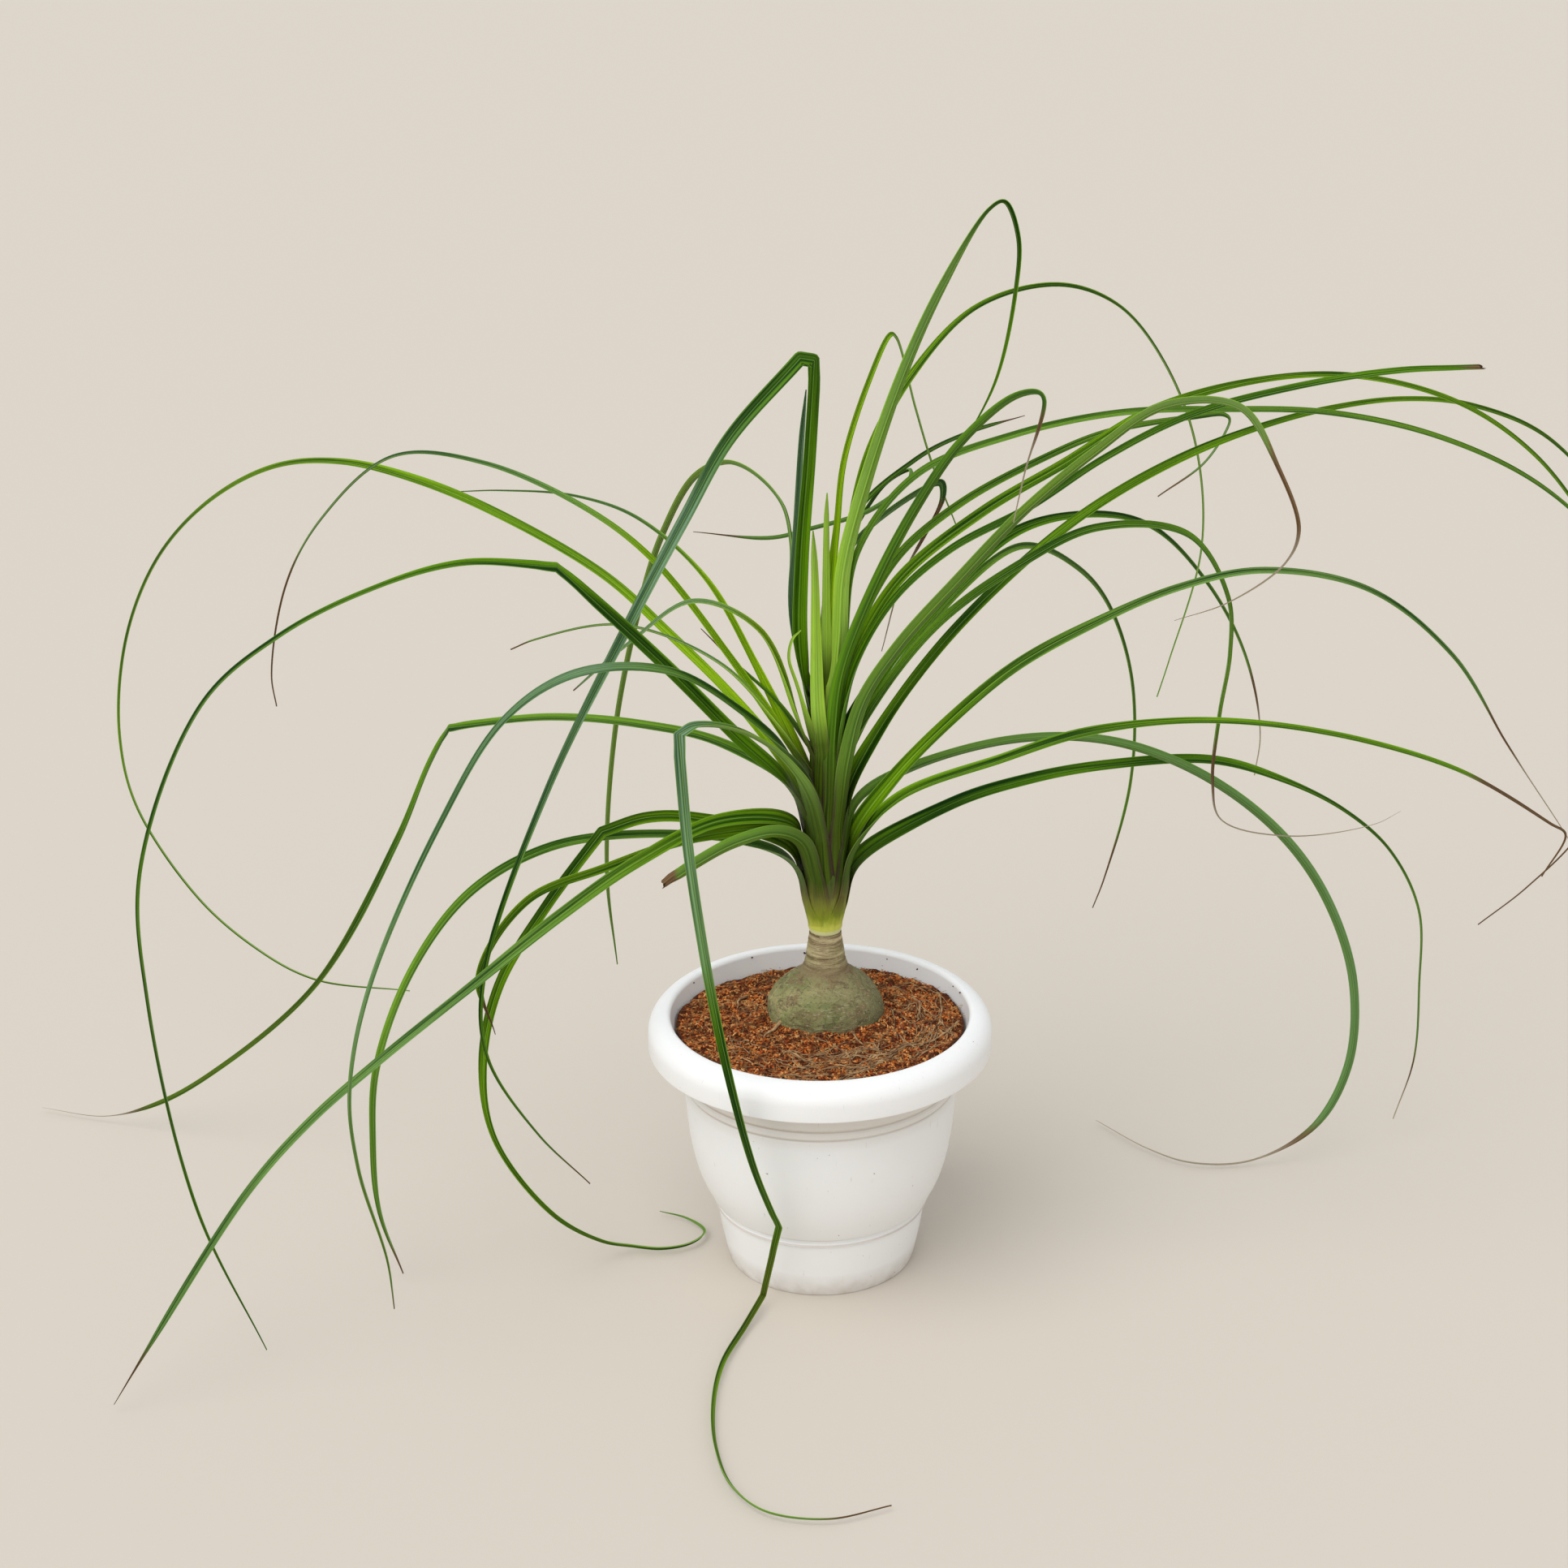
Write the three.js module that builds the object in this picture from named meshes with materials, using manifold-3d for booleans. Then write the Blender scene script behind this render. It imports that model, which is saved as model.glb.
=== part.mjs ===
// A young ponytail palm in a white plastic pot.
// Millimetres, +Z up. The pot's bottom centre is the origin, +X is to the right of the front view
// and -Y faces the viewer.

import * as THREE from "three";
import { mergeVertices } from "three/addons/utils/BufferGeometryUtils.js";
import Module from "manifold-3d";

// Pot
const POT_HEIGHT = 165;
const POT_BASE_RADIUS = 57;
const BODY_RADIUS = 82.5;
const LIP_RADIUS = 104;
const LIP_BOTTOM = 143;
const LIP_SHOULDER = 12;
const MOUTH_RADIUS = 90;
const WALL = 2.2;
const FLOOR_THICKNESS = 3;
const GROOVE_BOTTOM = 38.5;
const GROOVE_TOP = 44.5;
const RING_HEIGHT = 126;
const POT_SIDES = 52;
const DRAIN_RADIUS = 4;
const DRAIN_REACH = 34;
const DRAIN_COUNT = 4;
const DRAIN_SIDES = 12;

// Soil
const FIT_GAP = 0.3;
const SOIL_EDGE_HEIGHT = 154;
const SOIL_MOUND = 8;
const SOIL_TILT = 4;
const SOIL_LUMP = 1.1;
const SOIL_RINGS = 7;
const SOIL_SIDES = 36;

// Plant, which stands a little right of the pot's middle and behind it
const PLANT_X = 3.5;
const PLANT_Y = 10;
const TRUNK_TOP = 213.5;
const CAUDEX_RADIUS = 35;
const CAUDEX_WAVE = 0.03;
const TRUNK_SIDES = 30;
const CROWN_TOP = 426;
const CROWN_SIDES = 16;

// Leaf blades: a shallow V in section, thickest at the rib
const RIB_THICKNESS = 1.1;
const TIP_THICKNESS = 0.7;
const FOLD_DEPTH = 0.16;
const ROOT_WIDTH_SHARE = 0.5;
const WIDEN_RUN = 60;
const NARROW_SHARE = 0.88;
const TIP_WIDTH = 1.6;
const TURN_RUN = 70;
const STATION_RUN = 34;
const STATION_BEND = THREE.MathUtils.degToRad(20);
const STATION_TWIST = THREE.MathUtils.degToRad(14);
const CURVE_STEPS = 400;

const COLOURS = {
  dark: 0x1f5a20,
  mid: 0x3f7a25,
  bright: 0x7db52c,
  blue: 0x4c7d60,
};

// The outside of the trunk and its swollen base, from the bottom up: [radius, height]
const TRUNK_PROFILE = [
  [14, 124],
  [25, 131],
  [32, 143],
  [CAUDEX_RADIUS, 157],
  [CAUDEX_RADIUS, 165],
  [33.5, 170.5],
  [29.5, 176.5],
  [23.5, 181.5],
  [17.5, 185.5],
  [14, 189],
  [12.4, 194],
  [11.3, 201],
  [10.2, 208],
  [9.5, TRUNK_TOP],
];

// The stem inside the leaf bases: [radius, height]
const CROWN_PROFILE = [
  [9.3, TRUNK_TOP + FIT_GAP],
  [10, 218],
  [11.6, 230],
  [12.4, 241],
  [12.2, 256],
  [11.2, 274],
  [9.6, 294],
  [8.2, 314],
  [6.8, 334],
  [5.4, 356],
  [4, 380],
  [2.6, 402],
  [1.3, 418],
];

// One leaf a row: name, colour, direction [at the root, farther out] in degrees from +X towards +Y,
// height of its root on the stem, width [low down, near the tip], turn of the blade about its rib
// at even steps [low down, ..., at the tip], and its way as [reach, height] or [reach, height, sideways].
const LEAVES = [
  ["leaf_01", "blue", [205, 190], 231, [7, 6.5], [-35, -50],
    [[20, 258], [49, 274], [110, 284], [164, 280], [210, 256], [246, 210], [271, 147], [276, 98],
      [275, 48], [264, 4]]],
  ["leaf_02", "dark", [25, 19], 229, [8, 3.5], [35, 40],
    [[20, 255], [81, 284], [131, 293], [182, 295], [251, 289], [299, 270], [344, 243], [380, 209],
      [404, 163], [408, 110], [408, 55], [396, 14]]],
  ["leaf_03", "mid", [-25, -8], 238, [9, 5.5], [40, 30],
    [[18, 266], [45, 301], [106, 329], [151, 347], [203, 357], [253, 358], [313, 350], [370, 333],
      [419, 305], [428, 299], [417, 272]]],
  ["leaf_04", "mid", [165, 190], 243, [7, 5], [-35, -30],
    [[22, 271], [79, 293], [107, 296, 2], [130, 294, 4], [167, 247, 7], [197, 198, 7], [209, 146, 7],
      [204, 95, 6], [171, 39, 4], [140, 12, -4], [122, 5, -7], [104, 4, -2], [87, 4, -4], [77, 4, -12], [75, 4, -20],
      [84, 4, -36], [99, 4, -47]]],
  ["leaf_05", "mid", [24, 8], 246, [8, 3], [35, 40],
    [[18, 275], [42, 310], [76, 345], [114, 376], [160, 400], [209, 419], [259, 427], [324, 412],
      [379, 367], [417, 308], [452, 257], [466, 236]]],
  ["leaf_06", "mid", [242, 215], 252, [9, 8.5], [50, 55],
    [[19, 276, 4], [36, 286, 2], [63, 286], [90, 280], [113, 272]]],
  ["leaf_07", "mid", [193, 205], 258, [8, 5.5], [-35, -30],
    [[20, 285], [67, 297], [120, 281], [169, 256], [224, 223], [283, 187], [324, 159], [363, 123],
      [428, 37], [451, 5]]],
  ["leaf_08", "mid", [160, 194], 263, [6, 4.5], [-35, -60],
    [[22, 281], [76, 285, 4], [135, 272, 6], [180, 256, 4], [210, 209], [202, 169]]],
  ["leaf_09", "dark", [-20, 16], 266, [7, 5], [-30, -30],
    [[20, 292], [47, 309], [113, 322], [177, 315], [236, 288], [291, 243], [327, 193], [350, 130],
      [350, 69], [330, 26, 4], [290, 5, 10], [253, 4, 20], [233, 4, 45], [214, 4, 92]]],
  ["leaf_10", "blue", [175, 162], 276, [7, 5], [-35, -40, -75, -75, -70],
    [[22, 303], [65, 326], [114, 332], [173, 330], [221, 321], [255, 290], [279, 237], [343, 128],
      [428, 48], [472, 19], [510, 5], [557, 4]]],
  ["leaf_11", "mid", [30, 22], 273, [6.5, 3.4], [40, 35],
    [[16, 303], [37, 340], [73, 383], [118, 422], [168, 455], [227, 480], [283, 494], [331, 500],
      [380, 500], [428, 491], [487, 463], [540, 405], [568, 330], [565, 255], [540, 190], [500, 155],
      [464, 134]]],
  ["leaf_12", "dark", [205, 202], 284, [9.5, 4.2], [-60, -62, -8, -8, -22, -38, -50],
    [[22, 308], [57, 348], [96, 394], [160, 464], [215, 473], [268, 464], [318, 445], [362, 413],
      [403, 323], [406, 242], [389, 107], [356, 5]]],
  ["leaf_13", "mid", [250, 242], 280, [8.5, 3.6], [-25, -20, -20, -50, -50],
    [[18, 302], [36, 327], [69, 357], [100, 377, -7], [127, 386, -14], [139, 380, -17], [143, 320, -9],
      [141, 273, -4], [138, 225, 2], [134, 179, 9], [118, 115, 15], [100, 66, 21], [90, 41, 14],
      [88, 8, 3], [119, 4, 7], [160, 4, 15], [199, 4, 31], [238, 4, 55], [266, 4, 82], [277, 4, 110],
      [267, 4, 142], [240, 4, 166]]],
  ["leaf_14", "mid", [-40, -12], 286, [8.5, 5], [-30, -30],
    [[15, 326, -4], [24, 363, -2], [45, 398], [79, 440], [115, 482], [153, 518], [193, 548], [233, 549],
      [254, 518], [268, 481], [262, 462], [232, 437], [202, 424]]],
  ["leaf_15", "blue", [65, 50], 284, [5, 3.5], [30, 80],
    [[16, 315], [35, 338], [64, 359], [127, 394], [189, 407], [251, 377], [290, 338], [318, 276],
      [319, 208], [292, 146], [280, 129]]],
  ["leaf_16", "blue", [0, 12], 291, [7, 3.5], [35, 75],
    [[14, 323], [32, 358], [68, 402], [115, 434], [162, 454], [218, 446], [244, 406], [247, 370],
      [242, 330], [240, 287], [247, 262], [292, 247], [347, 250], [363, 257]]],
  ["leaf_17", "bright", [150, 148], 290, [7, 3.5], [-15, -40, -75, -60],
    [[27, 313], [65, 350], [110, 382], [155, 410], [240, 438], [300, 449], [355, 451], [410, 440],
      [470, 407], [522, 357], [557, 292], [570, 222], [560, 172], [510, 115], [458, 88], [410, 78],
      [326, 90]]],
  ["leaf_18", "dark", [45, 30], 297, [8, 4], [40, 30],
    [[17, 333, 4], [38, 368, 2], [75, 405], [128, 441], [177, 445], [228, 430], [274, 385], [307, 330],
      [322, 275], [319, 247]]],
  ["leaf_19", "dark", [-65, -28], 300, [8.5, 4], [-5, -25],
    [[9, 345, -4], [14, 382, -4], [31, 431], [58, 485], [87, 529], [118, 558], [132, 562], [135, 559],
      [125, 516], [119, 487]]],
  ["leaf_20", "bright", [130, 142], 303, [4.4, 1.6], [-40, -30],
    [[20, 324], [51, 372], [88, 418], [139, 445], [190, 450], [252, 442], [287, 435]]],
  ["leaf_21", "blue", [230, 213], 300, [7, 4.5], [-55, -30, -30],
    [[20, 324], [59, 367], [104, 400], [165, 411], [209, 394], [251, 342], [299, 256], [315, 196],
      [313, 147], [299, 82], [297, 50]]],
  ["leaf_22", "bright", [170, 156], 312, [4.8, 2.6], [-35, -30],
    [[24, 330], [61, 379], [109, 432], [151, 458], [221, 479], [284, 476], [338, 430], [367, 384],
      [383, 321], [381, 300]]],
  ["leaf_23", "bright", [200, 170], 318, [3.4, 1.8], [-30, -20],
    [[28, 344], [63, 381], [120, 401], [173, 389], [188, 382]]],
  ["leaf_24", "dark", [-15, -8], 318, [7, 6], [35, 30],
    [[12, 350, -4], [20, 385, -3], [42, 425], [74, 456], [119, 483], [160, 513], [206, 539], [263, 557],
      [319, 568], [362, 571]]],
  ["leaf_25", "dark", [137, 150], 326, [2.4, 1.6], [-20, -20],
    [[33, 353, -2], [60, 373], [84, 391]]],
  ["leaf_26", "bright", [192, 182], 328, [6.5, 3], [-25, -25],
    [[17, 352], [38, 405], [75, 423], [113, 398], [146, 370]]],
  ["leaf_27", "mid", [24, 12], 326, [7, 4], [35, 40],
    [[11, 360, 1.5], [19, 389, 1], [45, 432], [94, 469], [143, 495], [192, 522], [251, 536], [313, 536],
      [380, 516], [431, 481], [470, 434], [500, 380], [515, 330]]],
  ["leaf_28", "blue", [58, 32], 334, [5.5, 3], [30, 30],
    [[14, 375, 3], [30, 410, 3], [53, 441, 1], [95, 465], [152, 482], [200, 491], [267, 490], [289, 488],
      [294, 484], [292, 478], [276, 460], [241, 444]]],
  ["leaf_29", "blue", [0, 2], 342, [6, 3.5], [30, 35],
    [[13, 395], [21, 453], [54, 497], [108, 519], [168, 531], [228, 532], [288, 529], [350, 514],
      [409, 485], [458, 440], [498, 380], [520, 320]]],
  ["leaf_30", "mid", [115, 42], 358, [6, 4], [30, 20],
    [[8, 395, 6], [13, 430, 6], [26, 453, 2], [75, 473], [93, 474], [94, 464], [62, 422], [46, 380]]],
  ["leaf_31", "dark", [190, 197], 344, [9.5, 4], [-75, -45, -25],
    [[15, 393], [14, 448], [9, 509], [8, 553], [16, 565], [55, 524], [81, 481], [112, 427], [166, 326],
      [208, 215], [209, 162], [181, 105], [150, 65]]],
  ["leaf_32", "mid", [140, 128], 350, [5, 3], [35, 45],
    [[22, 380], [31, 415], [31, 450], [38, 470], [60, 482], [90, 484], [125, 467], [159, 424],
      [183, 377], [218, 276], [233, 170], [224, 107]]],
  ["leaf_33", "blue", [180, 160], 358, [5, 3.5], [-60, -60],
    [[17, 390], [20, 422], [17, 465], [13, 521], [10, 547]]],
  ["leaf_34", "bright", [234, 196], 332, [3.5, 2.4], [-20, -20],
    [[18, 374, 4], [23, 392, 5], [21, 404, 7], [16, 409, 8]]],
  ["leaf_35", "bright", [300, 8], 346, [9.5, 4.5], [-30, 45],
    [[8, 400, -6], [11, 443, -5], [26, 498, -2], [47, 557], [68, 603], [94, 646], [102, 650], [110, 630],
      [109, 600], [99, 550], [81, 512]]],
  ["leaf_36", "bright", [25, 27], 350, [6, 3], [50, 40],
    [[9, 400, 1.5], [15, 447], [30, 507], [58, 550], [98, 583], [152, 590], [195, 572], [230, 530],
      [253, 476], [259, 413], [239, 345], [231, 322]]],
  ["leaf_37", "bright", [50, 45], 368, [5, 3], [40, 40],
    [[6, 405, 2], [8, 440, 1], [11, 465], [17, 503], [37, 545], [55, 569], [60, 566], [76, 522], [92, 482],
      [112, 443]]],
  ["leaf_38", "blue", [82, 50], 342, [3.5, 2.4], [20, 20],
    [[13, 385, 4], [19, 422, 4], [34, 464, 5], [83, 487], [134, 492], [192, 490]]],
  ["leaf_39", "dark", [150, 95], 352, [4, 2.4], [0, 0],
    [[17, 395, -2], [38, 428, -10], [62, 446, -24], [76, 469, -44], [72, 478, -58], [58, 475, -56],
      [48, 461, -32], [47, 451, 4], [48, 446, 27], [52, 450, 72]]],
  ["leaf_40", "bright", [262, 250], 330, [7, 4], [10, 20],
    [[11, 360], [13, 400], [14, 440], [17, 470]]],
  ["leaf_41", "bright", [285, 285], 372, [5, 3.5], [0, 20],
    [[6.5, 400], [7, 440], [9, 490]]],
];

// Slow waves around the stem, which keep the swollen base from being a plain turned shape.
function unevenRadius(radius, height, angle) {
  const fade = THREE.MathUtils.smoothstep(radius, 12, CAUDEX_RADIUS);
  const wave = 0.6 * Math.sin(3 * angle + 0.06 * height) + 0.4 * Math.cos(5 * angle + 1.3);
  return radius * (1 + CAUDEX_WAVE * fade * wave);
}

// Turned outlines. Rings of points run from the bottom up and close on the axis at both ends.
function turnedSolid(profile, sides, place) {
  const positions = [];
  const indices = [];
  for (const [radius, height] of profile) {
    for (let side = 0; side < sides; side += 1) {
      const angle = (side / sides) * Math.PI * 2;
      positions.push(...place(radius, height, angle));
    }
  }
  const rings = profile.length;
  for (let ring = 0; ring + 1 < rings; ring += 1) {
    for (let side = 0; side < sides; side += 1) {
      const next = (side + 1) % sides;
      const low = ring * sides;
      const high = low + sides;
      indices.push(low + side, low + next, high + next);
      indices.push(low + side, high + next, high + side);
    }
  }
  const bottomCentre = positions.length / 3;
  positions.push(...place(0, profile[0][1], 0));
  const topCentre = bottomCentre + 1;
  positions.push(...place(0, profile[rings - 1][1], 0));
  const topRing = (rings - 1) * sides;
  for (let side = 0; side < sides; side += 1) {
    const next = (side + 1) % sides;
    indices.push(bottomCentre, next, side);
    indices.push(topCentre, topRing + side, topRing + next);
  }
  return geometryFrom(positions, indices);
}

function geometryFrom(positions, indices) {
  const geometry = new THREE.BufferGeometry();
  geometry.setAttribute("position", new THREE.Float32BufferAttribute(positions, 3));
  geometry.setIndex(indices);
  return geometry;
}

function solidFrom(wasm, geometry) {
  const bare = geometry.clone();
  bare.deleteAttribute("normal");
  bare.deleteAttribute("uv");
  const merged = mergeVertices(bare, 1e-4);
  return new wasm.Manifold(new wasm.Mesh({
    numProp: 3,
    vertProperties: new Float32Array(merged.attributes.position.array),
    triVerts: new Uint32Array(merged.index.array),
  }));
}

function geometryOf(solid) {
  const mesh = solid.getMesh();
  return geometryFrom(Array.from(mesh.vertProperties), Array.from(mesh.triVerts));
}

function makeMesh(name, geometry, colour, roughness) {
  geometry.computeVertexNormals();
  const material = new THREE.MeshStandardMaterial({
    color: colour,
    roughness,
    metalness: 0,
    side: THREE.FrontSide,
  });
  const mesh = new THREE.Mesh(geometry, material);
  mesh.name = name;
  return mesh;
}

// Points on a rounded corner: an arc about a centre between two angles in degrees.
function arcPoints(centreRadius, centreHeight, size, fromDegrees, toDegrees, steps) {
  const points = [];
  for (let step = 0; step <= steps; step += 1) {
    const angle = THREE.MathUtils.degToRad(
      THREE.MathUtils.lerp(fromDegrees, toDegrees, step / steps));
    points.push([centreRadius + size * Math.cos(angle), centreHeight + size * Math.sin(angle)]);
  }
  return points;
}

// The outside of the bulged body, from the foot up to the rings below the lip.
function bodyOutside() {
  return [
    [POT_BASE_RADIUS - 1, 0],
    [POT_BASE_RADIUS, 1],
    [60, 14],
    [62.8, 30],
    [64, GROOVE_BOTTOM - 1],
    [64.8, GROOVE_BOTTOM],
    [64.6, GROOVE_BOTTOM + 1.4],
    [65.2, GROOVE_TOP - 1.4],
    [66.6, GROOVE_TOP - 0.6],
    [69, GROOVE_TOP + 4],
    [74.2, 60],
    [78.6, 77],
    [81.2, 96],
    [BODY_RADIUS, RING_HEIGHT - 7],
    [BODY_RADIUS - 0.6, RING_HEIGHT - 6],
    [BODY_RADIUS + 0.6, RING_HEIGHT - 2],
    [BODY_RADIUS, RING_HEIGHT],
    [BODY_RADIUS + 2, RING_HEIGHT + 2],
  ];
}

function innerRadiusAt(height) {
  const outline = bodyOutside().concat([[MOUTH_RADIUS - 1 + WALL, POT_HEIGHT - 6]]);
  for (let row = 0; row + 1 < outline.length; row += 1) {
    const [lowRadius, lowHeight] = outline[row];
    const [highRadius, highHeight] = outline[row + 1];
    if (height >= lowHeight && height <= highHeight) {
      const share = (height - lowHeight) / (highHeight - lowHeight);
      return THREE.MathUtils.lerp(lowRadius, highRadius, share) - WALL;
    }
  }
  return MOUTH_RADIUS - 1;
}

// The wall's section, once around: outside, lip with its hollow underside, mouth and inside.
function potShell() {
  const shoulderRadius = LIP_RADIUS - LIP_SHOULDER;
  const shoulderHeight = POT_HEIGHT - LIP_SHOULDER;
  const neckHeight = POT_HEIGHT - 5;
  const outline = [
    [0, 0],
    ...bodyOutside(),
    [innerRadiusAt(shoulderHeight) + WALL, shoulderHeight],
    [MOUTH_RADIUS + 1.6, neckHeight],
    ...arcPoints(shoulderRadius, shoulderHeight, LIP_SHOULDER - WALL, 80, 0, 4),
    [LIP_RADIUS - WALL, LIP_BOTTOM],
    [LIP_RADIUS, LIP_BOTTOM],
    ...arcPoints(shoulderRadius, shoulderHeight, LIP_SHOULDER, 0, 80, 6),
    ...arcPoints(MOUTH_RADIUS + 3, POT_HEIGHT - 3, 3, 90, 180, 3),
  ];
  const insideHeights = [150, 128, 104, 74, 45, 30, FLOOR_THICKNESS];
  for (const height of insideHeights) {
    outline.push([innerRadiusAt(height), height]);
  }
  outline.push([0, FLOOR_THICKNESS]);
  const profile = outline.map(([radius, height]) => new THREE.Vector2(radius, height));
  profile.push(profile[0].clone());
  const lathe = new THREE.LatheGeometry(profile, POT_SIDES);
  lathe.rotateX(Math.PI / 2);
  return lathe;
}

// Tall round cutters for the drain holes in the pot's floor.
function drainCutter(index) {
  const angle = ((index + 0.5) / DRAIN_COUNT) * Math.PI * 2;
  const cutter = new THREE.CylinderGeometry(DRAIN_RADIUS, DRAIN_RADIUS, 20, DRAIN_SIDES);
  cutter.rotateX(Math.PI / 2);
  cutter.translate(DRAIN_REACH * Math.cos(angle), DRAIN_REACH * Math.sin(angle), 0);
  return cutter;
}

function makePot(wasm) {
  let solid = solidFrom(wasm, potShell());
  if (solid.volume() < 0) {
    throw new Error("the pot's outline runs the wrong way round");
  }
  for (let index = 0; index < DRAIN_COUNT; index += 1) {
    solid = solid.subtract(solidFrom(wasm, drainCutter(index)));
  }
  return makeMesh("pot", geometryOf(solid), 0xf2f0ea, 0.42);
}

// The soil's uneven top: a low mound around the stem that sinks towards the back of the pot.
function soilTopHeight(x, y) {
  const reach = Math.hypot(x - PLANT_X, y - PLANT_Y);
  const mound = SOIL_MOUND * Math.exp(-((reach / 62) ** 2));
  const tilt = -SOIL_TILT * (y / MOUTH_RADIUS) + 0.4 * SOIL_TILT * (x / MOUTH_RADIUS) ** 2;
  const lumps = Math.sin(0.17 * x + 0.6) * Math.cos(0.19 * y - 0.4) + 0.5 * Math.sin(0.31 * x - 0.27 * y);
  return SOIL_EDGE_HEIGHT + mound + tilt + SOIL_LUMP * lumps;
}

function soilBody() {
  const sideHeights = [FLOOR_THICKNESS + FIT_GAP, 30, 45, 74, 104, 128];
  const profile = sideHeights.map((height) => [innerRadiusAt(height) - 2 * FIT_GAP, height]);
  const edgeRadius = MOUTH_RADIUS - 3.6;
  for (let ring = 0; ring < SOIL_RINGS; ring += 1) {
    profile.push([edgeRadius * (1 - ring / SOIL_RINGS), SOIL_EDGE_HEIGHT]);
  }
  return turnedSolid(profile, SOIL_SIDES, (radius, height, angle) => {
    const x = radius * Math.cos(angle);
    const y = radius * Math.sin(angle);
    const onTop = height >= SOIL_EDGE_HEIGHT;
    return [x, y, onTop ? soilTopHeight(x, y) : height];
  });
}

function trunkBody(grow) {
  const profile = TRUNK_PROFILE.map(([radius, height]) => [radius + grow, height]);
  profile[0][1] -= grow;
  return turnedSolid(profile, TRUNK_SIDES, (radius, height, angle) => {
    const uneven = unevenRadius(radius, height, angle);
    return [PLANT_X + uneven * Math.cos(angle), PLANT_Y + uneven * Math.sin(angle), height];
  });
}

function makeSoil(wasm) {
  const hole = solidFrom(wasm, trunkBody(2 * FIT_GAP));
  const solid = solidFrom(wasm, soilBody()).subtract(hole);
  return makeMesh("soil", geometryOf(solid), 0x96481f, 0.95);
}

function crownRadiusAt(height) {
  for (let row = 0; row + 1 < CROWN_PROFILE.length; row += 1) {
    const [lowRadius, lowHeight] = CROWN_PROFILE[row];
    const [highRadius, highHeight] = CROWN_PROFILE[row + 1];
    if (height >= lowHeight && height <= highHeight) {
      const share = (height - lowHeight) / (highHeight - lowHeight);
      return THREE.MathUtils.lerp(lowRadius, highRadius, share);
    }
  }
  return 0;
}

function makeCrown() {
  const profile = CROWN_PROFILE.concat([[0.4, CROWN_TOP]]);
  const geometry = turnedSolid(profile, CROWN_SIDES, (radius, height, angle) => [
    PLANT_X + radius * Math.cos(angle),
    PLANT_Y + radius * Math.sin(angle),
    height,
  ]);
  return makeMesh("crown", geometry, 0x86a53a, 0.55);
}

// A direction in the ground plane, as the outward and the sideways unit vector.
function compass(degrees) {
  const angle = THREE.MathUtils.degToRad(degrees);
  return {
    outward: new THREE.Vector3(Math.cos(angle), Math.sin(angle), 0),
    sideways: new THREE.Vector3(-Math.sin(angle), Math.cos(angle), 0),
  };
}

function placeOnRoute(degrees, reach, height, aside = 0) {
  const { outward, sideways } = compass(degrees);
  return new THREE.Vector3(PLANT_X, PLANT_Y, height)
    .addScaledVector(outward, reach)
    .addScaledVector(sideways, aside);
}

// The rib line of a leaf: it starts just off the stem and passes smoothly through its way points.
function ribCurve(directions, rootHeight, rootWidth, way) {
  const edgeLift = FOLD_DEPTH * rootWidth;
  const rootReach = crownRadiusAt(rootHeight) + RIB_THICKNESS / 2 + edgeLift / 2 + FIT_GAP;
  const points = [placeOnRoute(directions[0], rootReach, rootHeight)];
  for (const [reach, height, aside] of way) {
    points.push(placeOnRoute(directions[1], reach, height, aside));
  }
  return new THREE.CatmullRomCurve3(points, false, "centripetal");
}

// Places along the curve where sections stand: closer together where the blade bends or twists.
function stationsAlong(curve, length, turns) {
  const samples = [];
  for (let step = 0; step <= CURVE_STEPS; step += 1) {
    const share = step / CURVE_STEPS;
    samples.push({ share, point: curve.getPointAt(share), tangent: curve.getTangentAt(share) });
  }
  const stations = [samples[0]];
  let spent = 0;
  for (let step = 1; step < CURVE_STEPS; step += 1) {
    const run = samples[step].point.distanceTo(samples[step - 1].point);
    const bend = samples[step].tangent.angleTo(samples[step - 1].tangent);
    const turned = turnAt(samples[step].share * length, length, turns);
    const twist = Math.abs(turned - turnAt(samples[step - 1].share * length, length, turns));
    spent += run / STATION_RUN + bend / STATION_BEND + twist / STATION_TWIST;
    if (spent >= 1) {
      stations.push(samples[step]);
      spent = 0;
    }
  }
  stations.push(samples[CURVE_STEPS]);
  return stations;
}

// The blade is narrow at its root, widest a little way out, and tapers to the tip.
function widthAt(run, length, widths) {
  const [low, high] = widths;
  const rootWidth = ROOT_WIDTH_SHARE * low;
  const widest = Math.min(WIDEN_RUN, 0.4 * length);
  const tipStart = NARROW_SHARE * length;
  if (run < widest) {
    return THREE.MathUtils.mapLinear(run, 0, widest, rootWidth, low);
  }
  if (run < tipStart) {
    return THREE.MathUtils.mapLinear(run, widest, tipStart, low, high);
  }
  return THREE.MathUtils.mapLinear(run, tipStart, length, high, TIP_WIDTH);
}

// How far the blade is turned about its rib, from the row's values at even steps along it.
function turnAt(run, length, turns) {
  const eased = THREE.MathUtils.smoothstep(run, 0, Math.min(TURN_RUN, length));
  const share = Math.max(0, (run - TURN_RUN) / Math.max(1, length - TURN_RUN));
  const step = share * (turns.length - 1);
  const before = Math.min(turns.length - 2, Math.floor(step));
  const turned = THREE.MathUtils.lerp(turns[before], turns[before + 1], step - before);
  return THREE.MathUtils.degToRad(eased * turned);
}

// A section of the blade: left edge, underside of the rib, right edge and top of the rib.
function bladeSection(point, across, face, width, thickness) {
  const lift = FOLD_DEPTH * width;
  return [
    point.clone().addScaledVector(across, -width / 2).addScaledVector(face, lift),
    point.clone().addScaledVector(face, -thickness / 2),
    point.clone().addScaledVector(across, width / 2).addScaledVector(face, lift),
    point.clone().addScaledVector(face, thickness / 2),
  ];
}

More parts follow.
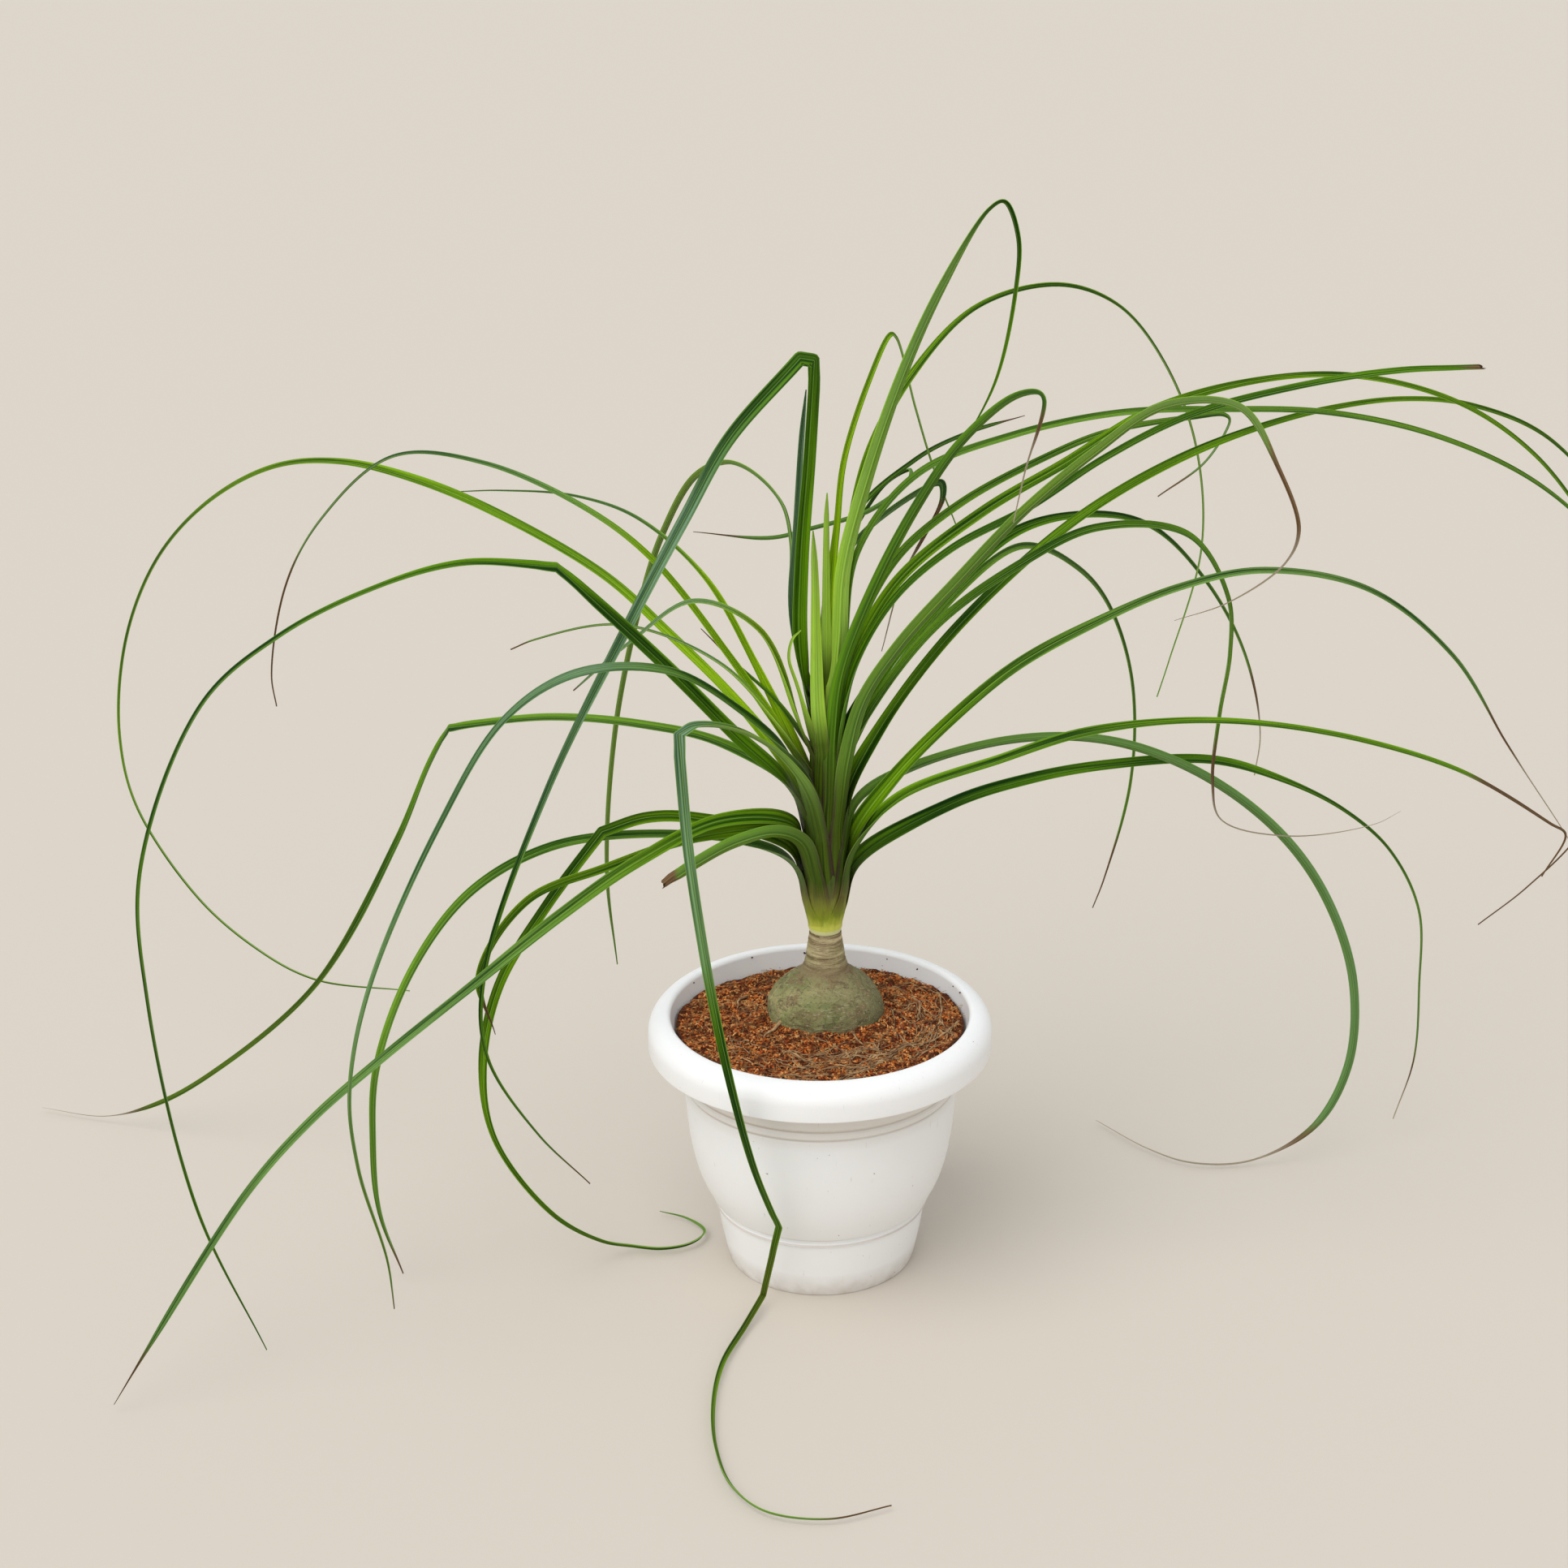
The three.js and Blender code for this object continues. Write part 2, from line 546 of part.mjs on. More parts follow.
// Skins the sections, with triangles that are split alike on both faces, and closes both ends.
function bladeSkin(stationCount) {
  const corners = 4;
  const indices = [];
  for (let station = 0; station + 1 < stationCount; station += 1) {
    const [left, under, right, over] = [0, 1, 2, 3].map((corner) => station * corners + corner);
    const [farLeft, farUnder, farRight, farOver] = [left, under, right, over].map((n) => n + corners);
    indices.push(left, under, farUnder, left, farUnder, farLeft);
    indices.push(under, right, farUnder, farUnder, right, farRight);
    indices.push(right, over, farRight, farRight, over, farOver);
    indices.push(over, left, farOver, farOver, left, farLeft);
  }
  const last = (stationCount - 1) * corners;
  indices.push(0, 3, 1, 1, 3, 2);
  indices.push(last, last + 1, last + 3, last + 1, last + 2, last + 3);
  return indices;
}

function leafBlade(directions, rootHeight, widths, turns, way) {
  const curve = ribCurve(directions, rootHeight, ROOT_WIDTH_SHARE * widths[0], way);
  const length = curve.getLength();
  const stations = stationsAlong(curve, length, turns);
  const positions = [];
  const side = compass(directions[0]).sideways.clone();
  for (const { share, point, tangent } of stations) {
    side.addScaledVector(tangent, -side.dot(tangent)).normalize();
    const up = new THREE.Vector3().crossVectors(tangent, side);
    const turn = turnAt(share * length, length, turns);
    const across = side.clone().multiplyScalar(Math.cos(turn)).addScaledVector(up, Math.sin(turn));
    const face = new THREE.Vector3().crossVectors(tangent, across);
    const width = widthAt(share * length, length, widths);
    const thickness = THREE.MathUtils.lerp(RIB_THICKNESS, TIP_THICKNESS, share);
    for (const corner of bladeSection(point, across, face, width, thickness)) {
      positions.push(corner.x, corner.y, corner.z);
    }
  }
  return geometryFrom(positions, bladeSkin(stations.length));
}

function makeLeaf([name, colour, directions, rootHeight, widths, turns, way]) {
  const geometry = leafBlade(directions, rootHeight, widths, turns, way);
  return makeMesh(name, geometry, COLOURS[colour], 0.45);
}

async function buildPlant() {
  const wasm = await Module();
  wasm.setup();
  const plant = new THREE.Group();
  plant.name = "ponytail_palm_in_pot";
  plant.add(makePot(wasm));
  plant.add(makeSoil(wasm));
  plant.add(makeMesh("trunk", trunkBody(0), 0x84845a, 0.8));
  plant.add(makeCrown());
  for (const row of LEAVES) {
    plant.add(makeLeaf(row));
  }
  return plant;
}

export default await buildPlant();
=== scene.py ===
# A young ponytail palm in a white plastic pot, dressed for its looks.
# Sizes in the tables are millimetres and are turned into metres by MM. Heights and depths in the
# materials are metres. +Z is up and -Y faces the viewer.

import math
import random

import bpy
import numpy as np
from mathutils import Matrix, Vector, noise


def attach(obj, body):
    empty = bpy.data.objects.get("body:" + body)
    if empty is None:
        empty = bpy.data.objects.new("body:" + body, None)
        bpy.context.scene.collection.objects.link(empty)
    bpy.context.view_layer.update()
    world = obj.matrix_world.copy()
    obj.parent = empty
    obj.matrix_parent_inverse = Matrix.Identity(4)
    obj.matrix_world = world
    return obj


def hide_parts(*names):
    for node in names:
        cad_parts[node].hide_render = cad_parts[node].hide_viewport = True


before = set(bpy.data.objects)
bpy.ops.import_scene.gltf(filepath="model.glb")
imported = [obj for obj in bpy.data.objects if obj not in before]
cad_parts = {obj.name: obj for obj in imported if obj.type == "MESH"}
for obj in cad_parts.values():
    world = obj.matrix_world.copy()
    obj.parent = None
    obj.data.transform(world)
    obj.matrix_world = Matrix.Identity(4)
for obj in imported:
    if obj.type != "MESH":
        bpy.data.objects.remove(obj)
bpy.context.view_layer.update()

MM = 0.001

# Camera, as fitted to the pot's rim and foot
CAMERA_PLACE = (0, -1.761, 1.037)
CAMERA_LENS = 74.53
CAMERA_SENSOR = 36
CAMERA_PITCH = math.radians(22.36)
CAMERA_YAW = math.radians(-0.66)
CAMERA_ROLL = math.radians(-0.57)

# Studio: the floor's size is in metres
FLOOR_REACH = 30
FLOOR_COLOUR = (0.62, 0.56, 0.48, 1)
SUN_HEADING = (0.45, 0.55, -1)
SUN_STRENGTH = 1.75
SUN_SPREAD = math.radians(60)
SKY_COLOUR = (0.95, 0.97, 1.0, 1)
SKY_STRENGTH = 0.74

# Pot
POT_HEIGHT = 165
POT_BASE_RADIUS = 57
BODY_RADIUS = 82.5
LIP_RADIUS = 104
LIP_BOTTOM = 143
LIP_SHOULDER = 12
MOUTH_RADIUS = 90
WALL = 2.2
FLOOR_THICKNESS = 3
GROOVE_BOTTOM = 38.5
GROOVE_TOP = 44.5
RING_HEIGHT = 126
POT_SIDES = 192
POT_CREASE = 34
DRAIN_RADIUS = 4
DRAIN_REACH = 34
DRAIN_COUNT = 4
DRAIN_SIDES = 40
DRAIN_CUT = (-4, 8)

# Soil
SOIL_EDGE_HEIGHT = 154
SOIL_MOUND = 8
MOUND_SPREAD = 62
SOIL_TILT = 4
SIDE_RISE = 0.4
SOIL_LUMP = 1.1
SOIL_EDGE_RADIUS = MOUTH_RADIUS - 3.2
SOIL_RINGS = 60
SOIL_SIDES = 180
SOIL_FINE_LUMP = 1.3
SOIL_EDGE_HEAP = 2.2
SOIL_FLOOR_GAP = 0.3
SOIL_WALL_GAP = 0.6
SHEET_RINGS = 24
SHEET_SIDES = 72

# Roots on the soil
ROOT_LIFT = 0.9
ROOT_SWAY = 2.2
ROOT_DIP = 1.8
ROOT_HUMP = 0.8
ROOT_JITTER = 0.3
FINE_ROOTS = 95
FINE_ROOT_THICKNESS = (0.35, 0.95)
FINE_ROOT_SPAN = (0.2, 0.75)
FINE_ROOT_DRIFT = 14

# Where the fine roots begin: least, most and commonest angle in radians and distance from the middle
FINE_ROOT_ANGLES = (-2.9, 1.1, -0.75)
FINE_ROOT_REACHES = (40, 84, 68)

# Bits that stick to the pot's inner wall: their directions and sizes
RIM_CRUMB_DEGREES = (96, 118, 133, 62, 47, 24, 17, 150, 208, 340, 80, 281)
RIM_CRUMB_SIZES = (0.5, 1.1)

# What is strewn on the coir and the bark: [how many to a square metre, smallest, largest, tip, seed]
STREWN = {
    "coir_crumbs": [600000, 0.3, 1.1, 1.0, 3],
    "coir_slivers": [280000, 0.4, 1.35, 0.6, 5],
    "coir_fibres": [70000, 0.5, 1.6, 0.3, 8],
    "bark_threads": [60000, 0.2, 0.7, 0.12, 12],
}

# The tones that strewn bits take by chance: (chance, colour)
HUSK_TONES = [
    (0.0, (0.03, 0.004, 0.001)), (0.3, (0.15, 0.017, 0.003)), (0.6, (0.52, 0.075, 0.006)),
    (0.84, (0.85, 0.24, 0.025)), (1.0, (0.95, 0.55, 0.2)),
]
HAIR_TONES = [(0.0, (0.17, 0.05, 0.01)), (0.5, (0.48, 0.17, 0.04)), (1.0, (0.62, 0.38, 0.15))]
DEAD_BARK_TONES = [(0.0, (0.12, 0.09, 0.05)), (0.6, (0.29, 0.25, 0.14)), (1.0, (0.42, 0.38, 0.24))]

# Plant
PLANT_X = 3.5
PLANT_Y = 10
TRUNK_TOP = 213.5
CAUDEX_RADIUS = 35
CAUDEX_WAVE = 0.03
WRINKLES_BEGIN = (172, 182)
WRINKLES_END = (191, 198)
TRUNK_SIDES = 200
TRUNK_RINGS = 150
CROWN_TOP = 426
CROWN_SIDES = 72
CROWN_RINGS = 90
COLLAR_HEIGHT = 216.5
COLLAR_RUN = 2.4
COLLAR_SWELL = 0.55

# Leaf blades: sizes
RIB_THICKNESS = 0.9
EDGE_THICKNESS = 0.35
TIP_THICKNESS = 0.6
TIP_WIDTH = 0.7
RIB_STAND = 0.55
ROOT_GAP = 0.3
WIDEN_RUN = 60
NARROW_SHARE = 0.86
SLIM_RUN = 0.12
SHRIVEL = 0.55
THREAD = 0.42

# Leaves that are broken off, and how wide they are there
CUT_TIPS = {6: 5.5, 24: 4}
FRAY_DEPTH = 2.6
FRAY_TEETH = 1.2

# Leaf blades: how they fold, turn and open from the stem
FOLD_DEPTH = 0.16
BLADE_FOLD = 0.21
ROOT_FOLD = 1.3
ROOT_FOLD_EASE = (20, 120)
DRY_FOLD = 0.2
FOLD_CURVE = 1.05
CREASE_RUN = 14
KEEL_DEPTH = 0.35
KEEL_REACH = 0.3
TURN_RUN = 70
SWAY_DEGREES = 7
SWAY_EASE = (60, 160)
WRAP_RUN = 48
WRAP_OPENING = 0.35

# Leaf blades: the wide base that clasps the stem, and how far its dark colour reaches up the blade as
# painted shade, less far on young leaves high in the crown
STRAP_RUN = 95
STRAP_WIDTH = 12.5
STRAP_SPARE = 2.2
STRAP_SPREAD = 1.9
SHEATH_RUN = 38
SHEATH_FOOT = 215.5
SHEATH_SPREAD = 1.9
SHEATH_THICKNESS = 0.7
SHEATH_LEAN_RUN = 12
SHEATH_STEPS = 6
BASE_SHADE_SHARE = 0.9
OLD_ROOT = 295
OLD_BASE_SHADE_RUN = 62
YOUNG_ROOT = 330
YOUNG_BASE_SHADE_RUN = 34

# Leaf blades: how finely they are made
FINE_STEP = 0.5
HEADING_REACH = 0.8
STATION_STEP = 7
STATION_BEND = 7
ACROSS_POINTS = 9
CREASE_DEGREES = 30

# How far apart the patterns of two leaves are taken
MARK_STEP = 7.31

# The outside of the trunk and its swollen base, from the bottom up: [radius, height]
TRUNK_PROFILE = [
    [14, 124], [25, 131], [32, 143], [CAUDEX_RADIUS, 157], [CAUDEX_RADIUS, 165], [33.5, 170.5],
    [29.5, 176.5], [23.5, 181.5], [17.5, 185.5], [14, 189], [12.4, 194], [11.3, 201], [10.2, 208],
    [9.5, TRUNK_TOP],
]

# The stem inside the leaf bases: [radius, height]
CROWN_PROFILE = [
    [9.3, TRUNK_TOP + 0.3], [10, 218], [11.6, 230], [12.4, 241], [12.2, 256], [11.2, 274],
    [9.6, 294], [8.2, 314], [6.8, 334], [5.4, 356], [4, 380], [2.6, 402], [1.3, 418], [0.4, CROWN_TOP],
]

# One leaf a row, leaf_01 first: colour, direction [at the root, farther out] in degrees from +X
# towards +Y, height of its root on the stem, width [low down, near the tip], turn of the blade about
# its rib at even steps from low down to the tip, and its way as [reach, height] or [reach, height,
# sideways].
LEAVES = [
    ["blue", [205, 190], 231, [7, 6.5], [-35, -50],
     [[20, 258], [49, 274], [110, 284], [164, 280], [210, 256], [246, 210], [271, 147], [276, 98],
        [275, 48], [264, 4]]],
    ["dark", [25, 19], 229, [8, 3.5], [35, 40],
     [[20, 255], [81, 284], [131, 293], [182, 295], [251, 289], [299, 270], [344, 243], [380, 209],
        [404, 163], [408, 110], [408, 55], [396, 14]]],
    ["mid", [-25, -8], 238, [9, 5.5], [40, 30],
     [[18, 266], [45, 301], [106, 329], [151, 347], [203, 357], [253, 358], [313, 350], [370, 333],
        [419, 305], [428, 299], [417, 272]]],
    ["mid", [165, 190], 243, [7, 5], [-35, -30],
     [[22, 271], [79, 293], [107, 296, 2], [130, 294, 4], [167, 247, 7], [197, 198, 7], [209, 146, 7],
        [204, 95, 6], [171, 39, 4], [140, 12, -4], [122, 5, -7], [104, 4, -2], [87, 4, -4], [77, 4, -12],
        [75, 4, -20], [84, 4, -36], [99, 4, -47]]],
    ["mid", [24, 8], 246, [8, 3], [35, 40],
     [[18, 275], [42, 310], [76, 345], [114, 376], [160, 400], [209, 419], [259, 427], [324, 412],
        [379, 367], [417, 308], [452, 257], [466, 236]]],
    ["mid", [242, 215], 252, [9, 8.5], [50, 55],
     [[19, 276, 4], [36, 286, 2], [63, 286], [90, 280], [113, 272]]],
    ["mid", [193, 205], 258, [8, 5.5], [-35, -30],
     [[20, 285], [67, 297], [120, 281], [169, 256], [224, 223], [283, 187], [324, 159], [363, 123],
        [428, 37], [451, 5]]],
    ["mid", [160, 194], 263, [6, 4.5], [-35, -60],
     [[22, 281], [76, 285, 4], [135, 272, 6], [180, 256, 4], [210, 209], [202, 169]]],
    ["dark", [-20, 16], 266, [7, 5], [-30, -30],
     [[20, 292], [47, 309], [113, 322], [177, 315], [236, 288], [291, 243], [327, 193], [350, 130],
        [350, 69], [330, 26, 4], [290, 5, 10], [253, 4, 20], [233, 4, 45], [214, 4, 92]]],
    ["blue", [175, 162], 276, [7, 5], [-35, -40, -75, -75, -70],
     [[22, 303], [65, 326], [114, 332], [173, 330], [221, 321], [255, 290], [279, 237], [343, 128],
        [428, 48], [472, 19], [510, 5], [557, 4]]],
    ["mid", [30, 22], 273, [6.5, 3.4], [40, 35],
     [[16, 303], [37, 340], [73, 383], [118, 422], [168, 455], [227, 480], [283, 494], [331, 500],
        [380, 500], [428, 491], [487, 463], [540, 405], [568, 330], [565, 255], [540, 190], [500, 155],
        [464, 134]]],
    ["dark", [205, 202], 284, [9.5, 4.2], [-60, -62, -8, -8, -22, -38, -50],
     [[22, 308], [57, 348], [96, 394], [160, 464], [215, 473], [268, 464], [318, 445], [362, 413],
        [403, 323], [406, 242], [389, 107], [356, 5]]],
    ["mid", [250, 242], 280, [8.5, 3.6], [-25, -20, -20, -50, -50],
     [[18, 302], [36, 327], [69, 357], [100, 377, -7], [127, 386, -14], [139, 380, -17], [143, 320, -9],
        [141, 273, -4], [138, 225, 2], [134, 179, 9], [118, 115, 15], [100, 66, 21], [90, 41, 14],
        [88, 8, 3], [119, 4, 7], [160, 4, 15], [199, 4, 31], [238, 4, 55], [266, 4, 82], [277, 4, 110],
        [267, 4, 142], [240, 4, 166]]],
    ["mid", [-40, -12], 286, [8.5, 5], [-30, -30],
     [[15, 326, -4], [24, 363, -2], [45, 398], [79, 440], [115, 482], [153, 518], [193, 548], [233, 549],
        [254, 518], [268, 481], [262, 462], [232, 437], [202, 424]]],
    ["blue", [65, 50], 284, [5, 3.5], [30, 80],
     [[16, 315], [35, 338], [64, 359], [127, 394], [189, 407], [251, 377], [290, 338], [318, 276],
        [319, 208], [292, 146], [280, 129]]],
    ["blue", [0, 12], 291, [7, 3.5], [35, 75],
     [[14, 323], [32, 358], [68, 402], [115, 434], [162, 454], [218, 446], [244, 406], [247, 370],
        [242, 330], [240, 287], [247, 262], [292, 247], [347, 250], [363, 257]]],
    ["bright", [150, 148], 290, [7, 3.5], [-15, -40, -75, -60],
     [[27, 313], [65, 350], [110, 382], [155, 410], [240, 438], [300, 449], [355, 451], [410, 440],
        [470, 407], [522, 357], [557, 292], [570, 222], [560, 172], [510, 115], [458, 88], [410, 78],
        [326, 90]]],
    ["dark", [45, 30], 297, [8, 4], [40, 30],
     [[17, 333, 4], [38, 368, 2], [75, 405], [128, 441], [177, 445], [228, 430], [274, 385], [307, 330],
        [322, 275], [319, 247]]],
    ["dark", [-65, -28], 300, [8.5, 4], [-5, -25],
     [[9, 345, -4], [14, 382, -4], [31, 431], [58, 485], [87, 529], [118, 558], [132, 562], [135, 559],
        [125, 516], [119, 487]]],
    ["bright", [130, 142], 303, [4.4, 1.6], [-40, -30],
     [[20, 324], [51, 372], [88, 418], [139, 445], [190, 450], [252, 442], [287, 435]]],
    ["blue", [230, 213], 300, [7, 4.5], [-55, -30, -30],
     [[20, 324], [59, 367], [104, 400], [165, 411], [209, 394], [251, 342], [299, 256], [315, 196],
        [313, 147], [299, 82], [297, 50]]],
    ["bright", [170, 156], 312, [4.8, 2.6], [-35, -30],
     [[24, 330], [61, 379], [109, 432], [151, 458], [221, 479], [284, 476], [338, 430], [367, 384],
        [383, 321], [381, 300]]],
    ["bright", [200, 170], 318, [3.4, 1.8], [-30, -20],
     [[28, 344], [63, 381], [120, 401], [173, 389], [188, 382]]],
    ["dark", [-15, -8], 318, [7, 6], [35, 30],
     [[12, 350, -4], [20, 385, -3], [42, 425], [74, 456], [119, 483], [160, 513], [206, 539], [263, 557],
        [319, 568], [362, 571]]],
    ["dark", [137, 150], 326, [2.4, 1.6], [-20, -20],
     [[33, 353, -2], [60, 373], [84, 391]]],
    ["bright", [192, 182], 328, [6.5, 3], [-25, -25],
     [[17, 352], [38, 405], [75, 423], [113, 398], [146, 370]]],
    ["mid", [24, 12], 326, [7, 4], [35, 40],
     [[11, 360, 1.5], [19, 389, 1], [45, 432], [94, 469], [143, 495], [192, 522], [251, 536], [313, 536],
        [380, 516], [431, 481], [470, 434], [500, 380], [515, 330]]],
    ["blue", [58, 32], 334, [5.5, 3], [30, 30],
     [[14, 375, 3], [30, 410, 3], [53, 441, 1], [95, 465], [152, 482], [200, 491], [267, 490], [289, 488],
        [294, 484], [292, 478], [276, 460], [241, 444]]],
    ["blue", [0, 2], 342, [6, 3.5], [30, 35],
     [[13, 395], [21, 453], [54, 497], [108, 519], [168, 531], [228, 532], [288, 529], [350, 514],
        [409, 485], [458, 440], [498, 380], [520, 320]]],
    ["mid", [115, 42], 358, [6, 4], [30, 20],
     [[8, 395, 6], [13, 430, 6], [26, 453, 2], [75, 473], [93, 474], [94, 464], [62, 422], [46, 380]]],
    ["dark", [190, 197], 344, [9.5, 4], [-75, -45, -25],
     [[15, 393], [14, 448], [9, 509], [8, 553], [16, 565], [55, 524], [81, 481], [112, 427], [166, 326],
        [208, 215], [209, 162], [181, 105], [150, 65]]],
    ["mid", [140, 128], 350, [5, 3], [35, 45],
     [[22, 380], [31, 415], [31, 450], [38, 470], [60, 482], [90, 484], [125, 467], [159, 424],
        [183, 377], [218, 276], [233, 170], [224, 107]]],
    ["blue", [180, 160], 358, [5, 3.5], [-60, -60],
     [[17, 390], [20, 422], [17, 465], [13, 521], [10, 547]]],
    ["bright", [234, 196], 332, [3.5, 2.4], [-20, -20],
     [[18, 374, 4], [23, 392, 5], [21, 404, 7], [16, 409, 8]]],
    ["bright", [300, 8], 346, [9.5, 4.5], [-30, 45],
     [[8, 400, -6], [11, 443, -5], [26, 498, -2], [47, 557], [68, 603], [94, 646], [102, 650], [110, 630],
        [109, 600], [99, 550], [81, 512]]],
    ["bright", [25, 27], 350, [6, 3], [50, 40],
     [[9, 400, 1.5], [15, 447], [30, 507], [58, 550], [98, 583], [152, 590], [195, 572], [230, 530],
        [253, 476], [259, 413], [239, 345], [231, 322]]],
    ["bright", [50, 45], 368, [5, 3], [40, 40],
     [[6, 405, 2], [8, 440, 1], [11, 465], [17, 503], [37, 545], [55, 569], [60, 566], [76, 522],
        [92, 482], [112, 443]]],
    ["blue", [82, 50], 342, [3.5, 2.4], [20, 20],
     [[13, 385, 4], [19, 422, 4], [34, 464, 5], [83, 487], [134, 492], [192, 490]]],
    ["dark", [150, 95], 352, [4, 2.4], [0, 0],
     [[17, 395, -2], [38, 428, -10], [62, 446, -24], [76, 469, -44], [72, 478, -58], [58, 475, -56],
        [48, 461, -32], [47, 451, 4], [48, 446, 27], [52, 450, 72]]],
    ["bright", [262, 250], 330, [7, 4], [10, 20],
     [[11, 360], [13, 400], [14, 440], [17, 470]]],
    ["bright", [285, 285], 372, [5, 3.5], [0, 20],
     [[6.5, 400], [7, 440], [9, 490]]],
]

# Where a leaf dries out: [share of its length where that starts, share where it turns pale],
# and a share past the tip for what never comes
NEVER = 1.1
DRY_ENDS = {
    1: [0.95, NEVER], 2: [0.9, 0.96], 3: [0.8, NEVER], 5: [0.8, 0.88], 6: [0.9, NEVER], 7: [0.92, NEVER],
    8: [0.9, NEVER], 9: [0.76, 0.8], 10: [0.88, 0.9], 11: [0.86, NEVER], 13: [0.94, NEVER],
    14: [0.72, 0.84], 15: [0.9, NEVER], 16: [0.7, 0.77], 18: [0.84, 0.91], 19: [0.81, 0.87],
    21: [0.97, NEVER], 22: [0.8, NEVER], 23: [0.93, NEVER], 24: [0.97, NEVER], 25: [0.8, NEVER],
    26: [0.97, NEVER], 28: [0.93, NEVER], 30: [0.64, 0.78], 31: [0.95, NEVER], 38: [0.9, NEVER],
    39: [0.9, NEVER],
}

# Blades that are slimmer farther out: [share of the length where that starts, share of the width left]
SLIM_ENDS = {
    2: [0.45, 0.65], 3: [0.35, 0.8], 4: [0.5, 0.7], 5: [0.3, 0.78], 7: [0.35, 0.78], 10: [0.55, 0.68],
    11: [0.3, 0.72], 12: [0.2, 0.64], 13: [0.5, 0.78], 17: [0.3, 0.75], 18: [0.35, 0.78],
    20: [0.35, 0.78], 21: [0.3, 0.72], 27: [0.4, 0.72], 31: [0.5, 0.76], 35: [0.56, 0.62],
    36: [0.3, 0.66], 37: [0.2, 0.8],
}

# Grey-tan roots that lie on the coir: [thickness, [x, y], ...]
SURFACE_ROOTS = [
    [1.5, [55, 38], [62, 25], [59, 5], [58, -15]],
    [1.3, [70, 45], [75, 25], [73, 0], [64, -31]],
    [1.4, [84, -2], [72, -25], [52, -40], [35, -50], [16, -49]],
    [1.4, [-21, -45], [-13, -56], [2, -64]],
    [2.4, [-18, -4], [-27, -18], [-34, -28]],
    [1.6, [-43, 38], [-49, 28], [-52, 14]],
    [1.2, [17, -21], [26, -36], [34, -42]],
    [0.9, [-5, -27], [2, -36], [8, -36]],
    [1.3, [8, -36], [12, -46], [18, -53], [17, -65]],
    [1.0, [44, 18], [44, -6], [47, -32]],
    [1.0, [60, 23], [53, 14], [47, 7]],
    [1.0, [34, -28], [35, -42], [33, -57]],
    [1.0, [68, -21], [60, -47], [48, -63]],
    [0.9, [2, -54], [6, -58], [9, -63]],
    [0.9, [46, -21], [53, -36], [59, -51]],
    [1.1, [24, -59], [38, -46], [56, -34], [73, -6]],
    [0.8, [-40, 40], [-32, 33], [-37, 13], [-47, -1]],
    [0.9, [-56, -19], [-51, -35], [-41, -46]],
]

# Where a leaf's colour leaves the plain one: [share of its length, bloom, olive, shade], where shade turns
# the leaf to the dark green, partly its own colour and partly painted shade
LEAF_TINTS = {
    2: [[0, 0, 0, 0.5], [1, 0, 0, 0.4]],
    3: [[0, 0, 0.2, 0.6], [1, 0, 0, 0.4]],
    4: [[0, 0, 0.2, 0.3], [0.5, 0, 0, 0.3], [1, 0, 0, 0]],
    5: [[0.2, 0, 0, 0], [0.5, 0.4, 0, 0], [1, 0.4, 0, 0]],
    6: [[0, 0, 0.3, 0.3], [0.4, 0, 0, 0.6], [1, 0, 0.2, 0.5]],
    7: [[0.2, 0, 0, 0], [0.5, 0.4, 0, 0], [1, 0.4, 0, 0]],
    9: [[0, 0, 0.2, 0.4], [0.4, 0.3, 0, 0], [1, 0.4, 0, 0]],
    10: [[0.3, 0, 0, 0], [0.36, 0, 0, 1], [0.5, 0, 0.2, 0.6], [0.62, 0, 0.6, 0]],
    11: [[0, 0, 0, 0.6], [0.6, 0, 0, 0.5], [1, 0, 0, 0]],
    12: [[0.1, 0, 0, 0.3], [0.2, 0, 0, 1], [0.26, 0, 0, 1], [0.3, 0, 0, 0]],
    13: [[0.16, 0, 0, 0], [0.2, 0.9, 0, 0], [0.36, 0.7, 0, 0.2], [0.42, 0, 0, 1], [0.56, 0, 0, 0.9],
         [0.62, 0, 1, 0], [0.68, 0, 1, 0], [0.74, 0, 0, 0]],
    14: [[0, 0, 0.3, 0.5], [0.4, 0, 0.5, 0.4], [0.7, 0, 0.3, 0]],
    16: [[0, 0, 0, 0.5], [1, 0, 0, 0.2]],
    19: [[0, 0, 0, 0.9], [1, 0, 0, 0.7]],
    20: [[0.4, 0, 0, 0], [0.6, 0.6, 0, 0.3], [1, 0.6, 0, 0.4]],
    21: [[0.1, 0, 0, 0.6], [0.2, 0, 0, 0.3], [0.3, 0.8, 0, 0], [0.7, 0.5, 0, 0], [0.9, 0, 0.4, 0]],
    22: [[0.3, 0, 0, 0], [0.45, 0.5, 0, 0.3], [1, 0.6, 0, 0]],
    23: [[0.2, 0, 0, 0], [0.4, 0.8, 0, 0], [1, 0.5, 0, 0.5]],
    24: [[0, 0, 0, 0.6], [1, 0, 0, 0.5]],
    25: [[0, 0, 0, 1], [1, 0, 0, 1]],
    26: [[0.2, 0, 0, 0], [0.4, 0, 0.6, 0], [0.55, 0.7, 0, 0], [1, 0.9, 0, 0]],
    28: [[0, 0, 0, 0.6], [1, 0, 0, 0.2]],
    30: [[0.1, 0, 0, 0], [0.3, 0.5, 0, 0], [1, 0.4, 0, 0]],
    31: [[0.25, 0, 0, 0.8], [0.33, 0.2, 0, 0.6], [0.42, 0.9, 0, 0], [0.66, 0.6, 0, 0], [0.75, 0, 0, 1]],
    32: [[0.1, 0, 0, 0], [0.2, 0.3, 0, 0], [0.32, 0, 0.5, 0], [1, 0, 0.5, 0]],
    33: [[0, 1, 0, 0], [1, 1, 0, 0]],
    35: [[0.2, 0, 0, 0], [0.35, 0, 0, 0.4], [0.6, 0, 0, 0.5], [0.7, 0, 0, 1], [1, 0, 0, 1]],
}

